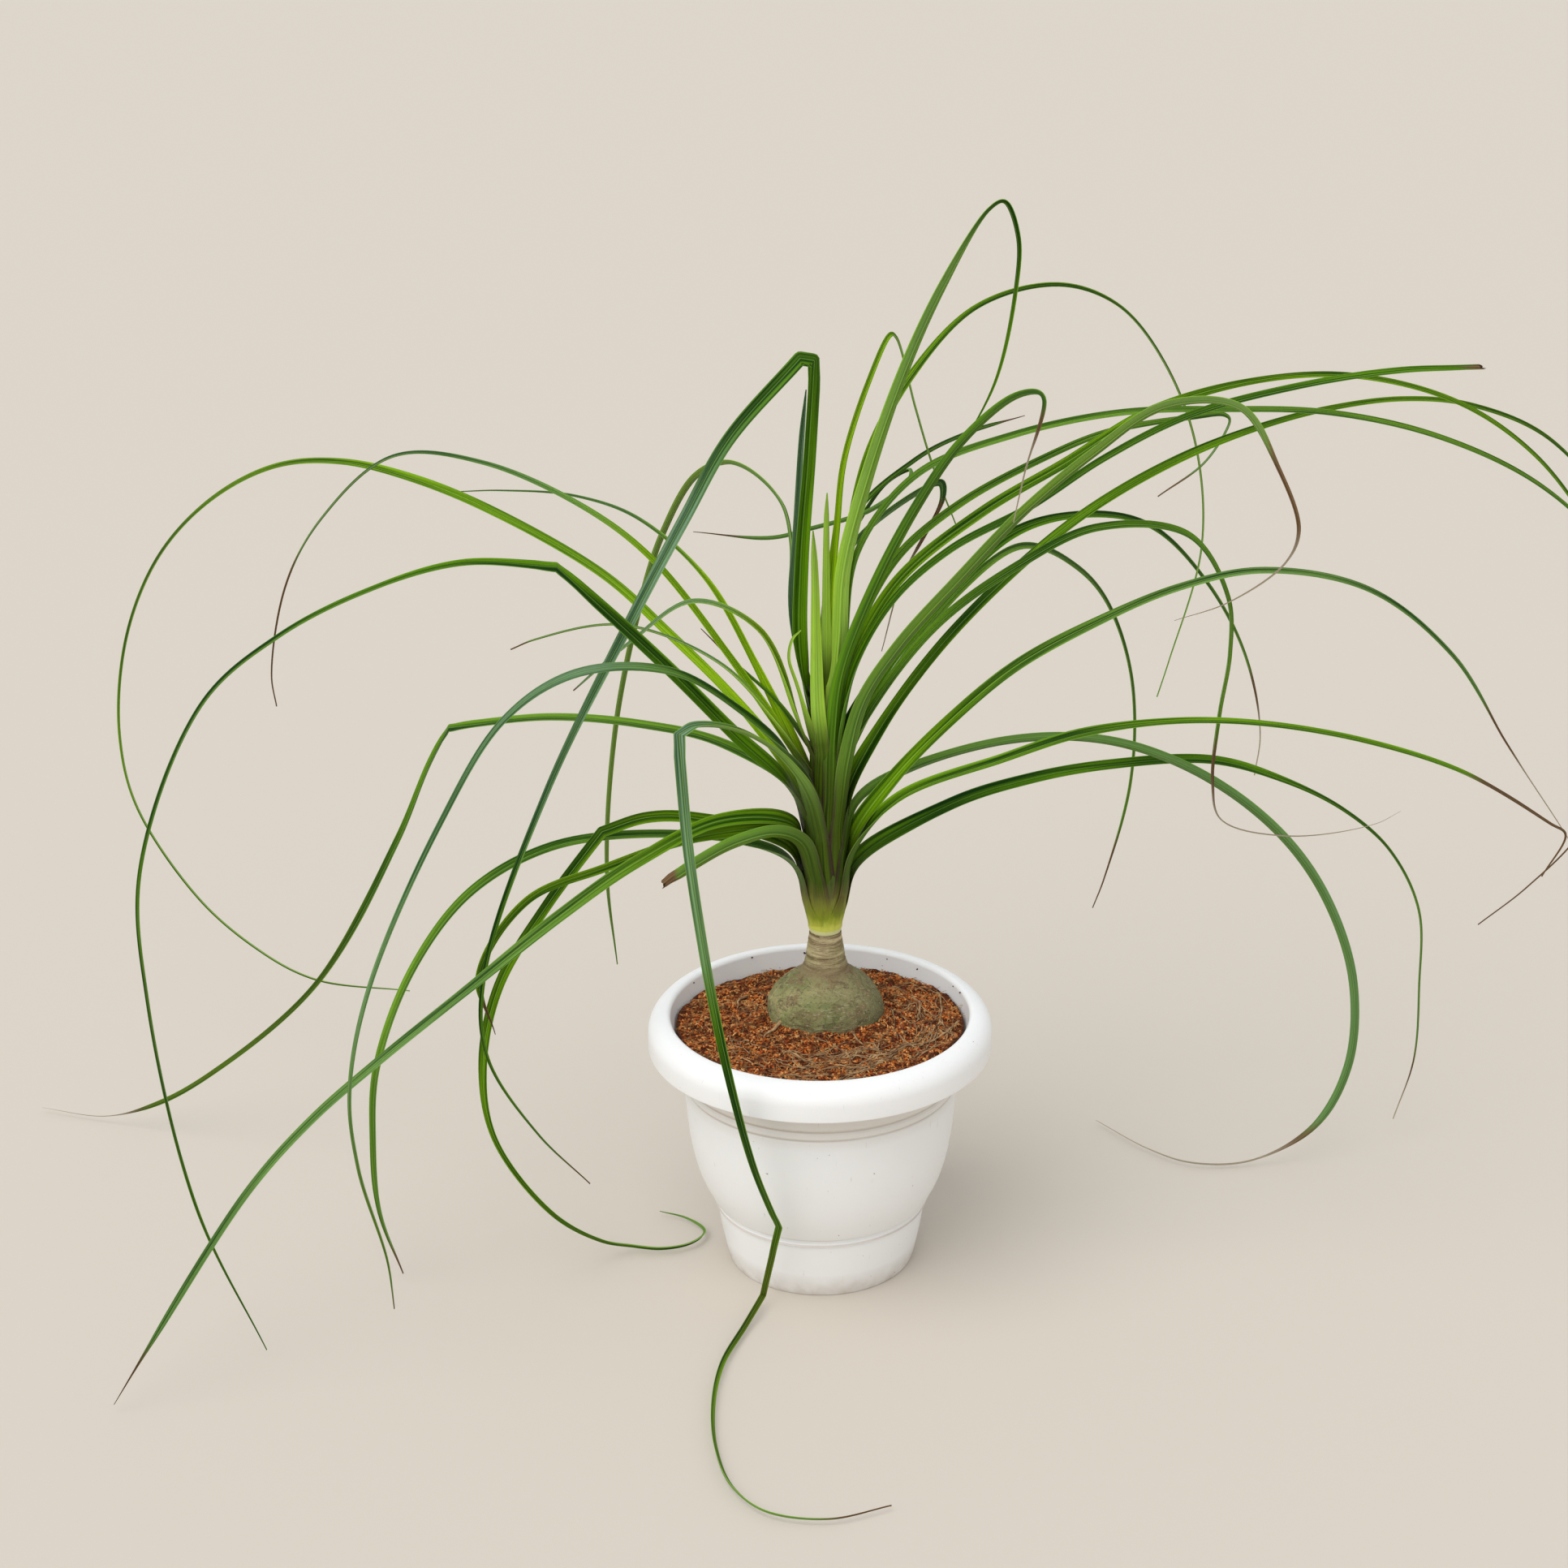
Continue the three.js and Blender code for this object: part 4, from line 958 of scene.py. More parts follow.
def make_soil():
    bottom = FLOOR_THICKNESS + SOIL_FLOOR_GAP
    profile = [(0, bottom)]
    for height in (bottom, 30, 45, 74, 104, 128, 146):
        profile.append((pot_inner_radius(height) - SOIL_WALL_GAP, height))
    for ring in range(SOIL_RINGS):
        profile.append((SOIL_EDGE_RADIUS * (1 - ring / SOIL_RINGS), SOIL_EDGE_HEIGHT))
    profile.append((0, SOIL_EDGE_HEIGHT))

    def place(radius, height, angle):
        x = radius * math.cos(angle)
        y = radius * math.sin(angle)
        top = soil_top(x, y) if height >= SOIL_EDGE_HEIGHT else height
        return x * MM, y * MM, top * MM

    points, faces = turned_mesh(profile, SOIL_SIDES, place)
    soil = mesh_piece("coir_bed", points, faces, 180)
    finish_piece(soil, coir_bed_material(), ["soil"])


def soil_sheet():
    """The bare top of the soil, which chips and fibres are strewn on."""
    points = []
    for ring in range(SHEET_RINGS + 1):
        share = ring / SHEET_RINGS
        radius = mixed(CAUDEX_RADIUS * 0.9, SOIL_EDGE_RADIUS - 1.5, share)
        for side in range(SHEET_SIDES):
            angle = 2 * math.pi * side / SHEET_SIDES
            x = radius * math.cos(angle) + PLANT_X * (1 - share)
            y = radius * math.sin(angle) + PLANT_Y * (1 - share)
            points.append((x * MM, y * MM, (soil_top(x, y) + 0.2) * MM))
    faces = [(corner, *reversed(rest)) for corner, *rest in ring_bands(SHEET_RINGS + 1, SHEET_SIDES)]
    return mesh_piece("soil_sheet", points, faces)


def flake(name, outline, ridge, belly):
    """A small closed bit with a ridge above and a flatter belly below."""
    count = len(outline)
    points = [(x * MM, y * MM, 0.25 * MM) for x, y in outline]
    points += [(ridge[0] * MM, 0, ridge[1] * MM), (0, 0, belly * MM)]
    faces = []
    for corner in range(count):
        after = (corner + 1) % count
        faces.append((corner, after, count))
        faces.append((after, corner, count + 1))
    return mesh_piece(name, points, faces, 20)


def tube_points(path, radii, sides):
    points = []
    across = Vector((0, 0, 1))
    for index, centre in enumerate(path):
        ahead = path[min(index + 1, len(path) - 1)] - path[max(index - 1, 0)]
        ahead.normalize()
        across = across - ahead * across.dot(ahead)
        if across.length < 1e-6:
            across = ahead.orthogonal()
        across.normalize()
        other = ahead.cross(across)
        for side in range(sides):
            angle = 2 * math.pi * side / sides
            offset = across * math.cos(angle) + other * math.sin(angle)
            points.append(centre + offset * radii[index])
    return points, ring_bands(len(path), sides) + ring_lids(len(path), sides)


def coir_fibre():
    """A thin hair of husk in a loose curve."""
    path = [Vector((x * MM, 0.9 * math.sin(0.45 * x) * MM, (0.5 - 0.02 * x * x) * MM))
            for x in (-5, -2.5, 0, 2.5, 5)]
    points, faces = tube_points(path, [0.08 * MM, 0.13 * MM, 0.14 * MM, 0.12 * MM, 0.06 * MM], 3)
    return mesh_piece("coir_fibre", points, faces)


STREWING_INPUTS = {
    "Surface": "Geometry", "Shape": "Object", "Density": "Float", "Smallest": "Float", "Largest": "Float",
    "Tip": "Float", "Seed": "Int", "Material": "Material",
}


def strewing_tree(name):
    """Strews copies of a small shape over a surface, each turned, tipped and sized by chance."""
    tree = bpy.data.node_groups.new(name, "GeometryNodeTree")
    for label, kind in STREWING_INPUTS.items():
        tree.interface.new_socket(label, in_out="INPUT", socket_type="NodeSocket" + kind)
    tree.interface.new_socket("Strewn", in_out="OUTPUT", socket_type="NodeSocketGeometry")

    def made(kind, inputs=None, **settings):
        return add_node(tree, kind, inputs, **settings).outputs

    given = made("NodeGroupInput")
    spread = made("GeometryNodeDistributePointsOnFaces", {
        "Mesh": given["Surface"], "Density": given["Density"], "Seed": given["Seed"],
    })
    tip = given["Tip"]
    tip_back = made("ShaderNodeMath", {0: tip, 1: -1.0}, operation="MULTIPLY")[0]
    turn = made("FunctionNodeRandomValue", {
        0: made("ShaderNodeCombineXYZ", {"X": tip_back, "Y": tip_back, "Z": 0.0})[0],
        1: made("ShaderNodeCombineXYZ", {"X": tip, "Y": tip, "Z": 2 * math.pi})[0],
    }, data_type="FLOAT_VECTOR")
    size = made("FunctionNodeRandomValue", {2: given["Smallest"], 3: given["Largest"]}, data_type="FLOAT")
    shape = made("GeometryNodeObjectInfo", {"Object": given["Shape"]})
    laid = made("GeometryNodeInstanceOnPoints", {
        "Points": spread["Points"], "Instance": shape["Geometry"], "Rotation": spread["Rotation"],
        "Scale": size[1],
    })
    copies = made("GeometryNodeRotateInstances", {"Instances": laid[0], "Rotation": turn[0]})
    chance = made("FunctionNodeRandomValue", data_type="FLOAT")
    toned = made("GeometryNodeStoreNamedAttribute", {
        "Geometry": copies[0], "Name": "bit_tone", "Value": chance[1],
    }, data_type="FLOAT", domain="INSTANCE")
    real = made("GeometryNodeRealizeInstances", {"Geometry": toned[0]})
    dressed = made("GeometryNodeSetMaterial", {"Geometry": real[0], "Material": given["Material"]})
    made("NodeGroupOutput", {"Strewn": dressed[0]})
    return tree


def strew(name, surface, shape, material):
    density, smallest, largest, tip, seed = STREWN[name]
    values = {
        "Shape": shape, "Density": density, "Smallest": smallest, "Largest": largest, "Tip": tip,
        "Seed": seed, "Material": material,
    }
    tree = strewing_tree(name + "_tree")
    piece = bpy.data.objects.new(name, surface.data.copy())
    bpy.context.collection.objects.link(piece)
    modifier = piece.modifiers.new("strew", "NODES")
    modifier.node_group = tree
    for socket in tree.interface.items_tree:
        if socket.in_out == "INPUT" and socket.name in values:
            modifier[socket.identifier] = values[socket.name]
    plain_copy(piece)
    piece.data.shade_flat()
    finish_piece(piece, material)


def strew_soil():
    sheet = soil_sheet()
    crumb_corners = [(-1, -0.2), (-0.3, 0.8), (0.7, 0.7), (1.1, -0.1), (0.4, -0.9)]
    sliver_corners = [(-1.7, 0), (-0.7, 0.42), (0.8, 0.36), (1.8, 0.1), (0, -0.4)]
    crumb = flake("coir_crumb", crumb_corners, (0.1, 1.1), -0.3)
    sliver = flake("coir_sliver", sliver_corners, (0.2, 0.6), -0.05)
    fibre = coir_fibre()
    husk = strewn_material("coir_husk", HUSK_TONES, 0.15)
    strew("coir_crumbs", sheet, crumb, husk)
    strew("coir_slivers", sheet, sliver, husk)
    strew("coir_fibres", sheet, fibre, strewn_material("coir_hair", HAIR_TONES, 0.35))
    strew_bark(fibre)
    make_rim_crumbs(crumb)
    for helper in (sheet, crumb, sliver, fibre):
        bpy.data.objects.remove(helper)


def strew_bark(fibre):
    """Short pale threads of dead bark that lie on the swollen base."""
    profile = [[30, 150], [CAUDEX_RADIUS, 158]] + TRUNK_PROFILE[4:10]
    sides = 60
    points = []
    for radius, height in profile:
        for side in range(sides):
            angle = 2 * math.pi * side / sides
            grown = uneven_radius(radius, height, angle) + 0.1
            points.append(placed(grown, height, angle, (PLANT_X, PLANT_Y)))
    skin = mesh_piece("base_skin", points, ring_bands(len(profile), sides))
    threads = strewn_material("bark_thread", DEAD_BARK_TONES, 0.0)
    strew("bark_threads", skin, fibre, threads)
    bpy.data.objects.remove(skin)


def make_rim_crumbs(crumb):
    """Loose bits of coir that stick to the pot's inner wall and rim."""
    dice = random.Random(17)
    points = []
    faces = []
    reach = MOUTH_RADIUS - 0.4
    for degrees in RIM_CRUMB_DEGREES:
        height = dice.uniform(POT_HEIGHT - 7, POT_HEIGHT - 1.5)
        angle = math.radians(degrees)
        size = dice.uniform(*RIM_CRUMB_SIZES)
        spin = Matrix.Rotation(dice.uniform(0, 6), 3, "Z") @ Matrix.Rotation(dice.uniform(0, 6), 3, "X")
        centre = Vector((reach * math.cos(angle), reach * math.sin(angle), height)) * MM
        corners = [centre + spin @ vertex.co * size for vertex in crumb.data.vertices]
        gather(points, faces, corners, [face.vertices for face in crumb.data.polygons])
    crumbs = mesh_piece("rim_crumbs", points, faces, 20)
    finish_piece(crumbs, dark_crumb())


def root_path(way, thickness, seed):
    """A smooth wandering line over the soil through the root's way points."""
    dice = random.Random(seed)
    ends = [Vector((x, y, 0)) for x, y in way]
    path = []
    for start, end in zip(ends, ends[1:]):
        steps = max(3, int((end - start).length / 3))
        for step in range(steps):
            path.append(start.lerp(end, step / steps))
    path.append(ends[-1])
    for _ in range(3):
        path = [path[0]] + [(a + b * 2 + c) / 4 for a, b, c in zip(path, path[1:], path[2:])] + [path[-1]]
    result = []
    for index, point in enumerate(path):
        share = index / (len(path) - 1)
        sway = noise.noise(Vector((seed * 3.1, share * 5, 0))) * ROOT_SWAY
        x = point.x + sway + dice.uniform(-ROOT_JITTER, ROOT_JITTER)
        y = point.y + sway * 0.6 + dice.uniform(-ROOT_JITTER, ROOT_JITTER)
        dip = ROOT_DIP * (1 - max(0, math.sin(math.pi * share)) ** 0.35)
        hump = ROOT_HUMP * noise.noise(Vector((seed * 2.3, share * 6, 4)))
        result.append(Vector((x, y, soil_top(x, y) + ROOT_LIFT + thickness * 0.4 + hump - dip)) * MM)
    return result


def fine_root_ways():
    """Thin roots that run round the pot in loose bundles, most of them at the front and right."""
    dice = random.Random(21)
    ways = []
    for _ in range(FINE_ROOTS):
        angle = dice.triangular(*FINE_ROOT_ANGLES)
        reach = dice.triangular(*FINE_ROOT_REACHES)
        turning = dice.choice((-1, 1))
        drift = dice.uniform(-FINE_ROOT_DRIFT, FINE_ROOT_DRIFT)
        span = dice.uniform(*FINE_ROOT_SPAN)
        way = []
        for share in (0, 0.35, 0.7, 1):
            around = angle + turning * span * share
            out = min(SOIL_EDGE_RADIUS - 4, reach + drift * share + dice.uniform(-3, 3))
            way.append([out * math.cos(around), out * math.sin(around)])
        ways.append((dice.uniform(*FINE_ROOT_THICKNESS), way))
    return ways


def make_surface_roots():
    points = []
    faces = []
    rows = [(row[0], row[1:]) for row in SURFACE_ROOTS] + fine_root_ways()
    for seed, (thickness, way) in enumerate(rows):
        path = root_path(way, thickness, seed + 1)
        count = len(path)
        radii = []
        for index in range(count):
            knots = 1 + 0.25 * noise.noise(Vector((seed * 1.7, index * 0.6, 0)))
            radii.append(thickness / 2 * MM * (1.1 - 0.6 * index / count) * knots)
        gather(points, faces, *tube_points(path, radii, 6))
    roots = mesh_piece("surface_roots", points, faces, 60)
    finish_piece(roots, root_skin())


# Trunk with its swollen base

def uneven_radius(radius, height, angle):
    fade = smooth(radius, 12, CAUDEX_RADIUS)
    wave = 0.6 * math.sin(3 * angle + 0.06 * height) + 0.4 * math.cos(5 * angle + 1.3)
    return radius * (1 + CAUDEX_WAVE * fade * wave)


def smooth_profile(profile, count):
    """Rounds a profile's corners and gives it evenly spaced points."""
    corners = np.array(profile, float)
    run = np.concatenate([[0], np.cumsum(np.hypot(*np.diff(corners, axis=0).T))])
    even = np.linspace(0, run[-1], count)
    radii = np.interp(even, run, corners[:, 0])
    heights = np.interp(even, run, corners[:, 1])
    for _ in range(int(count / 14)):
        radii[1:-1] = (radii[:-2] + 2 * radii[1:-1] + radii[2:]) / 4
        heights[1:-1] = (heights[:-2] + 2 * heights[1:-1] + heights[2:]) / 4
    return list(zip(radii, heights))


def bark_relief(x, y, z, radius):
    """How far the bark stands out, in millimetres."""
    here = Vector((x, y, z))
    stem = 1 - smooth(radius, 14, 24)
    ring_broad = noise.noise(Vector((x * 0.05, y * 0.05, z * 0.42)))
    ring_fine = noise.noise(Vector((x * 0.09, y * 0.09, z * 1.1)))
    ridges = stem * (0.24 * ring_broad + 0.16 * ring_fine)
    wrinkle_zone = smooth(z, *WRINKLES_BEGIN) * (1 - smooth(z, *WRINKLES_END))
    wrinkles = wrinkle_zone * 0.4 * noise.noise(Vector((x * 0.08, y * 0.08, z * 0.45)))
    scurf = (1 - stem) * 0.5 * noise.fractal(here * 0.22, 0.8, 2.0, 4)
    lumps = (1 - stem) * 0.9 * noise.noise(here * 0.055)
    flakes = (1 - stem) * 0.3 * abs(noise.noise(here * 0.4))
    return ridges + wrinkles + scurf + lumps + flakes


def make_trunk():
    profile = [(0, TRUNK_PROFILE[0][1])]
    profile += smooth_profile(TRUNK_PROFILE, TRUNK_RINGS)
    profile.append((0, TRUNK_TOP))

    def place(radius, height, angle):
        round_radius = uneven_radius(radius, height, angle)
        x = round_radius * math.cos(angle)
        y = round_radius * math.sin(angle)
        relief = bark_relief(x, y, height, radius) if radius > 0 else 0
        return placed(round_radius + relief, height, angle, (PLANT_X, PLANT_Y))

    points, faces = turned_mesh(profile, TRUNK_SIDES, place)
    trunk = mesh_piece("trunk_bark", points, faces, 60)
    finish_piece(trunk, palm_bark(), ["trunk"])


def crown_radius(height):
    return radius_at(CROWN_PROFILE, height)


def make_stem():
    profile = [(0, CROWN_PROFILE[0][1])] + smooth_profile(CROWN_PROFILE, CROWN_RINGS) + [(0, CROWN_TOP)]

    def place(radius, height, angle):
        collar = COLLAR_SWELL * math.exp(-((height - COLLAR_HEIGHT) / COLLAR_RUN) ** 2)
        ridge = 0.3 * noise.noise(Vector((4 * math.cos(angle), 4 * math.sin(angle), height * 0.03)))
        grown = radius + (collar + ridge) * min(1, radius / 5)
        return placed(grown, height, angle, (PLANT_X, PLANT_Y))

    points, faces = turned_mesh(profile, CROWN_SIDES, place)
    stem = mesh_piece("crown_stem", points, faces, 60)
    finish_piece(stem, stem_skin(), ["crown"])


# Leaves

def compass(degrees):
    angle = math.radians(degrees)
    outward = Vector((math.cos(angle), math.sin(angle), 0))
    sideways = Vector((-math.sin(angle), math.cos(angle), 0))
    return outward, sideways


def place_on_route(degrees, reach, height, aside=0):
    outward, sideways = compass(degrees)
    return Vector((PLANT_X, PLANT_Y, height)) + outward * reach + sideways * aside


def spline_through(points, steps=40):
    """A centripetal Catmull-Rom line through the points."""
    ends = [points[0] * 2 - points[1]] + list(points) + [points[-1] * 2 - points[-2]]
    line = []
    for index in range(len(points) - 1):
        before, start, end, after = ends[index:index + 4]
        gap_before = math.sqrt((start - before).length) or 1.0
        gap = math.sqrt((end - start).length) or 1.0
        gap_after = math.sqrt((after - end).length) or 1.0
        slope_start = ((start - before) / gap_before - (end - before) / (gap_before + gap)
                       + (end - start) / gap) * gap
        slope_end = ((end - start) / gap - (after - start) / (gap + gap_after)
                     + (after - end) / gap_after) * gap
        for step in range(steps):
            t = step / steps
            line.append(start * (2 * t ** 3 - 3 * t ** 2 + 1) + slope_start * (t ** 3 - 2 * t ** 2 + t)
                        + end * (-2 * t ** 3 + 3 * t ** 2) + slope_end * (t ** 3 - t ** 2))
    line.append(points[-1].copy())
    return line


def folded_line(points, folds):
    """A line through the points that is smooth but for the sharp folds, and where those are."""
    line = []
    starts = [0] + folds
    ends = folds + [len(points) - 1]
    for start, end in zip(starts, ends):
        line += spline_through(points[start:end + 1])[:-1]
    line.append(points[-1].copy())
    return line, [points[index] for index in folds]


def stations_along(line):
    """Points along a line, closer together where it bends, and the line's direction at each."""
    corners = np.array([tuple(point) for point in line])
    run = np.concatenate([[0], np.cumsum(np.linalg.norm(np.diff(corners, axis=0), axis=1))])
    fine = np.linspace(0, run[-1], int(run[-1] / FINE_STEP))

    def at(runs):
        return np.stack([np.interp(runs, run, corners[:, axis]) for axis in range(3)], axis=1)

    headings = at(fine + HEADING_REACH) - at(fine - HEADING_REACH)
    headings /= np.linalg.norm(headings, axis=1)[:, None]
    bends = np.degrees(np.arccos(np.clip((headings[1:] * headings[:-1]).sum(axis=1), -1, 1)))
    spent = np.concatenate([[0], np.cumsum(np.diff(fine) / STATION_STEP + bends / STATION_BEND)])
    count = int(round(spent[-1]))
    chosen = [int(np.searchsorted(spent, share * spent[-1] / count)) for share in range(count)]
    chosen.append(len(fine) - 1)
    places = at(fine)
    return ([Vector(places[c]) for c in chosen], [Vector(headings[c]) for c in chosen],
            [float(fine[c]) for c in chosen], float(run[-1]))


def turn_at(run, length, turns):
    """How far the blade is turned about its rib, from the row's values at even steps along it."""
    eased = smooth(run, 0, min(TURN_RUN, length))
    share = max(0, (run - TURN_RUN) / max(1, length - TURN_RUN))
    steps = np.linspace(0, 1, len(turns))
    return math.radians(eased * float(np.interp(share, steps, turns)))


def blade_width(run, length, low, high, strap, tip_width):
    widest = min(WIDEN_RUN, 0.4 * length)
    tip_start = NARROW_SHARE * length
    if run < widest:
        plain = low
    elif run < tip_start:
        plain = mapped(run, widest, tip_start, low, high)
    else:
        share = (run - tip_start) / (length - tip_start)
        plain = mixed(high, tip_width, share ** 1.4)
    fade = 1 - smooth(run, 0, min(STRAP_RUN, 0.5 * length))
    return mixed(plain, max(strap, plain), fade)


def blade_ring(centre, across, face, width, thickness, wrap, wrap_radius, fold):
    """One section round the blade: the underside from left to right, then the upper side back."""
    under = []
    over = []
    for index in range(ACROSS_POINTS):
        u = 2 * index / (ACROSS_POINTS - 1) - 1
        flat_side = u * width / 2
        flat_lift = fold * width * abs(u) ** FOLD_CURVE
        bend = u * width / 2 / wrap_radius
        wrapped_side = wrap_radius * math.sin(bend)
        wrapped_lift = wrap_radius * (1 - math.cos(bend))
        side = mixed(flat_side, wrapped_side, wrap)
        lift = mixed(flat_lift, wrapped_lift, wrap)
        middle = centre + across * side + face * lift
        half = thickness / 2 * mixed(1, EDGE_THICKNESS / RIB_THICKNESS, abs(u) ** 1.5)
        keel = KEEL_DEPTH * thickness * max(0, 1 - abs(u) / KEEL_REACH) * (1 - wrap)
        under.append((middle - face * (half + keel), u))
        over.append((middle + face * half, u))
    return under + over[::-1]


def sheath_rings(root, direction, root_height, strap):
    """The sections of the base that clasps the stem below a blade's root, from its foot up."""
    sideways = compass(direction)[1]
    lower = root_height - SHEATH_LEAN_RUN
    heading = (root - place_on_route(direction, crown_radius(lower) + 0.6, lower)).normalized()
    face = heading.cross(sideways)
    sheath_run = min(SHEATH_RUN, root_height - SHEATH_FOOT)
    rings = []
    for step in range(SHEATH_STEPS):
        share = 1 - step / SHEATH_STEPS
        height = root_height - share * sheath_run
        radius = crown_radius(height) + mixed(0.9, -0.6, share ** 1.5)
        centre = place_on_route(direction, radius, height)
        width = strap * mixed(1, SHEATH_SPREAD, share ** 0.8)
        ring = blade_ring(centre, sideways, face, width, SHEATH_THICKNESS, 1.0, radius, 0)
        rings.append((ring, -share * sheath_run, 0.0, 0.0, 1.0))
    return rings


def dryness(number, share):
    """How dry and how pale a leaf is at a share of its length."""
    dry_start, pale_start = DRY_ENDS.get(number, [NEVER, NEVER])
    dry = smooth(share, dry_start - 0.02, dry_start + 0.05)
    pale = smooth(share, pale_start - 0.02, pale_start + 0.03)
    return dry, pale


def leaf_width(number, run, length, widths, strap):
    """A blade's width with its slimmer far part and its dry end."""
    share = run / length
    width = blade_width(run, length, *widths, strap, CUT_TIPS.get(number, TIP_WIDTH))
    slim_start, slim_share = SLIM_ENDS.get(number, [1, 1])
    width *= mixed(1, slim_share, smooth(share, slim_start, slim_start + SLIM_RUN))
    if number not in CUT_TIPS:
        dry, pale = dryness(number, share)
        width *= mixed(1, SHRIVEL, dry) * mixed(1, THREAD, pale)
    return width


def blade_rings(number, line, fold_places, row, root_reach, strap):
    """The sections along a blade, each with its run, dryness, paleness and share of the base's colour,
    which on the blade is painted shade.
    """
    _, directions, root_height, widths, turns, _ = row
    stations, headings, runs, length = stations_along(line)
    base_shade_run = mapped(smooth(root_height, OLD_ROOT, YOUNG_ROOT), 0, 1, OLD_BASE_SHADE_RUN, YOUNG_BASE_SHADE_RUN)
    side = compass(directions[0])[1]
    rings = []
    for centre, heading, run in zip(stations, headings, runs):
        side = (side - heading * side.dot(heading)).normalized()
        sway = SWAY_DEGREES * noise.noise(Vector((number * 5.3, run * 0.008, 0)))
        turn = turn_at(run, length, turns) + math.radians(sway * smooth(run, *SWAY_EASE))
        across = side * math.cos(turn) + heading.cross(side) * math.sin(turn)
        share = run / length
        dry, pale = dryness(number, share)
        near_fold = min([(centre - place).length for place in fold_places], default=CREASE_RUN)
        fold = BLADE_FOLD * mixed(ROOT_FOLD, 1, smooth(run, *ROOT_FOLD_EASE)) + DRY_FOLD * dry
        fold *= smooth(near_fold, 1, CREASE_RUN)
        ring = blade_ring(
            centre, across, heading.cross(across), leaf_width(number, run, length, widths, strap),
            mixed(RIB_THICKNESS, TIP_THICKNESS, share), 1 - smooth(run, 2, WRAP_RUN),
            root_reach + WRAP_OPENING * run, fold)
        # The last value is the share of the sheath colour near the blade's root, which is painted shade.
        rings.append((ring, run, dry, pale, BASE_SHADE_SHARE * (1 - smooth(run, 4, base_shade_run))))
    if number in CUT_TIPS:
        fray_tip(rings, headings[-1], number)
    return rings


def make_leaf(number, row, skins):
    colour, directions, root_height, widths, _, way = row
    stem_radius = crown_radius(root_height)
    root_reach = stem_radius + RIB_STAND + FOLD_DEPTH * widths[0] / 4 + ROOT_GAP
    folds = SHARP_FOLDS.get(number, {})
    points = [place_on_route(directions[0], root_reach, root_height)]
    points += [place_on_route(directions[1], *folds.get(index, stop)) for index, stop in enumerate(way)]
    line, fold_places = folded_line(points, [index + 1 for index in sorted(folds)])
    strap = min(STRAP_WIDTH, STRAP_SPARE + stem_radius, STRAP_SPREAD * widths[0])
    rings = sheath_rings(points[0], directions[0], root_height, strap)
    rings += blade_rings(number, line, fold_places, row, root_reach, strap)
    add_blade(number, rings, skins[colour])


def fray_tip(rings, heading, number):
    """Tears the last section of a blade that broke off, so that it ends in a ragged line."""
    ring, *state = rings[-1]
    torn = []
    for point, u in ring:
        reach = FRAY_DEPTH * noise.noise(Vector((u * 2.7, number, 0.5))) + FRAY_TEETH * math.cos(9 * u)
        torn.append((point + heading * reach, u))
    rings[-1] = (torn, *state)


def tint_at(number, share):
    """The bloom, olive and shade of a leaf at a share of its length."""
    stops = LEAF_TINTS.get(number, [[0, 0, 0, 0]])
    shares, *tints = zip(*stops)
    return [float(np.interp(share, shares, tint)) for tint in tints]


def add_blade(number, rings, skin):
    name = f"leaf_{number:02d}"
    corners = 2 * ACROSS_POINTS
    length = rings[-1][1]
    points = []
    values = {"blade": [], "wear_and_shade": [], "tint": []}
    for ring, run, dry, pale, base in rings:
        values["tint"] += tint_at(number, run / length) * corners
        for corner, (point, u) in enumerate(ring):
            points.append(point * MM)
            values["blade"] += [u, run * MM, 1.0 if corner < ACROSS_POINTS else 0.0]
            values["wear_and_shade"] += [dry, pale, base]
    faces = ring_bands(len(rings), corners) + ring_lids(len(rings), corners)
    leaf = mesh_piece(name + "_blade", points, faces, CREASE_DEGREES)
    for label, numbers in values.items():
        leaf.data.attributes.new(label, "FLOAT_VECTOR", "POINT").data.foreach_set("vector", numbers)
    marks = [number * MARK_STEP] * len(points)
    leaf.data.attributes.new("leaf_number", "FLOAT", "POINT").data.foreach_set("value", marks)
    finish_piece(leaf, skin, [name])


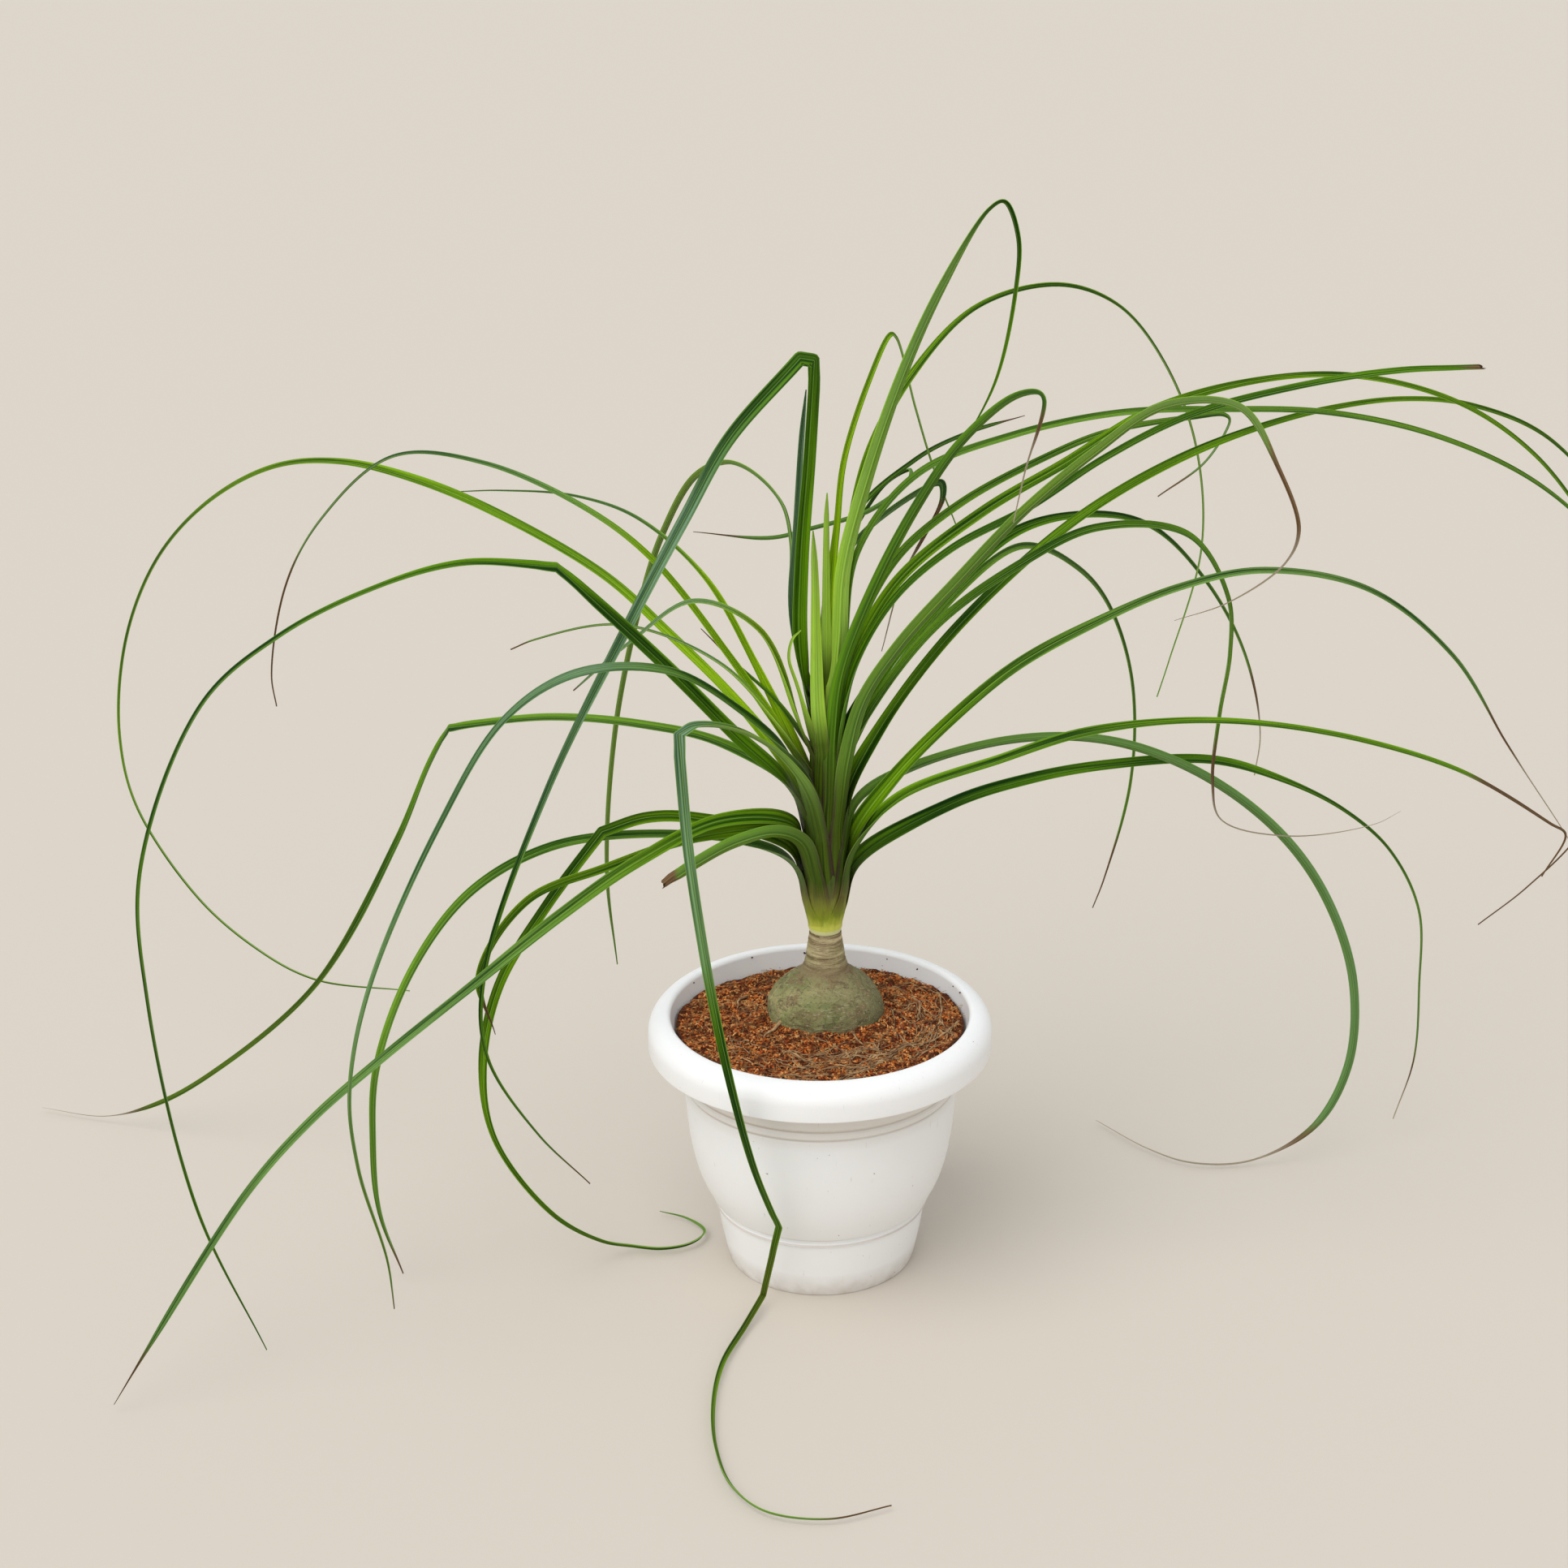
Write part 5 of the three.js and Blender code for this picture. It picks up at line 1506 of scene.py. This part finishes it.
def make_leaves():
    skins = {colour: leaf_skin(colour) for colour in LEAF_COLOURS}
    for number, row in enumerate(LEAVES, 1):
        make_leaf(number, row, skins)


# Studio

def make_floor():
    far = FLOOR_REACH
    points = [(-far, -far, 0), (far, -far, 0), (far, far, 0), (-far, far, 0)]
    floor = mesh_piece("studio_floor", points, [(0, 1, 2, 3)])
    floor.data.materials.append(studio_floor_material())


def make_sun():
    lamp = bpy.data.lights.new("wide_soft_light", "SUN")
    lamp.energy = SUN_STRENGTH
    lamp.angle = SUN_SPREAD
    light = bpy.data.objects.new("wide_soft_light", lamp)
    bpy.context.collection.objects.link(light)
    light.rotation_euler = Vector(SUN_HEADING).to_track_quat("-Z", "Y").to_euler()


def make_studio():
    make_floor()
    make_sun()
    world = bpy.data.worlds.new("pale_room")
    world.use_nodes = True
    sky = world.node_tree.nodes["Background"]
    sky.inputs["Color"].default_value = SKY_COLOUR
    sky.inputs["Strength"].default_value = SKY_STRENGTH
    bpy.context.scene.world = world
    bpy.context.scene.view_settings.view_transform = "Standard"


def make_camera():
    lens = bpy.data.cameras.new("camera")
    lens.lens = CAMERA_LENS
    lens.sensor_width = CAMERA_SENSOR
    camera = bpy.data.objects.new("camera", lens)
    bpy.context.collection.objects.link(camera)
    ahead = Vector((math.sin(CAMERA_YAW) * math.cos(CAMERA_PITCH),
                    math.cos(CAMERA_YAW) * math.cos(CAMERA_PITCH), -math.sin(CAMERA_PITCH)))
    level = Vector((math.cos(CAMERA_YAW), -math.sin(CAMERA_YAW), 0))
    upright = level.cross(ahead)
    right = level * math.cos(CAMERA_ROLL) + upright * math.sin(CAMERA_ROLL)
    up = upright * math.cos(CAMERA_ROLL) - level * math.sin(CAMERA_ROLL)
    turn = Matrix((right, up, -ahead)).transposed().to_4x4()
    camera.matrix_world = Matrix.Translation(CAMERA_PLACE) @ turn
    bpy.context.scene.camera = camera


make_camera()
make_pot()
make_soil()
strew_soil()
make_surface_roots()
make_trunk()
make_stem()
make_leaves()
make_studio()

bpy.context.view_layer.update()
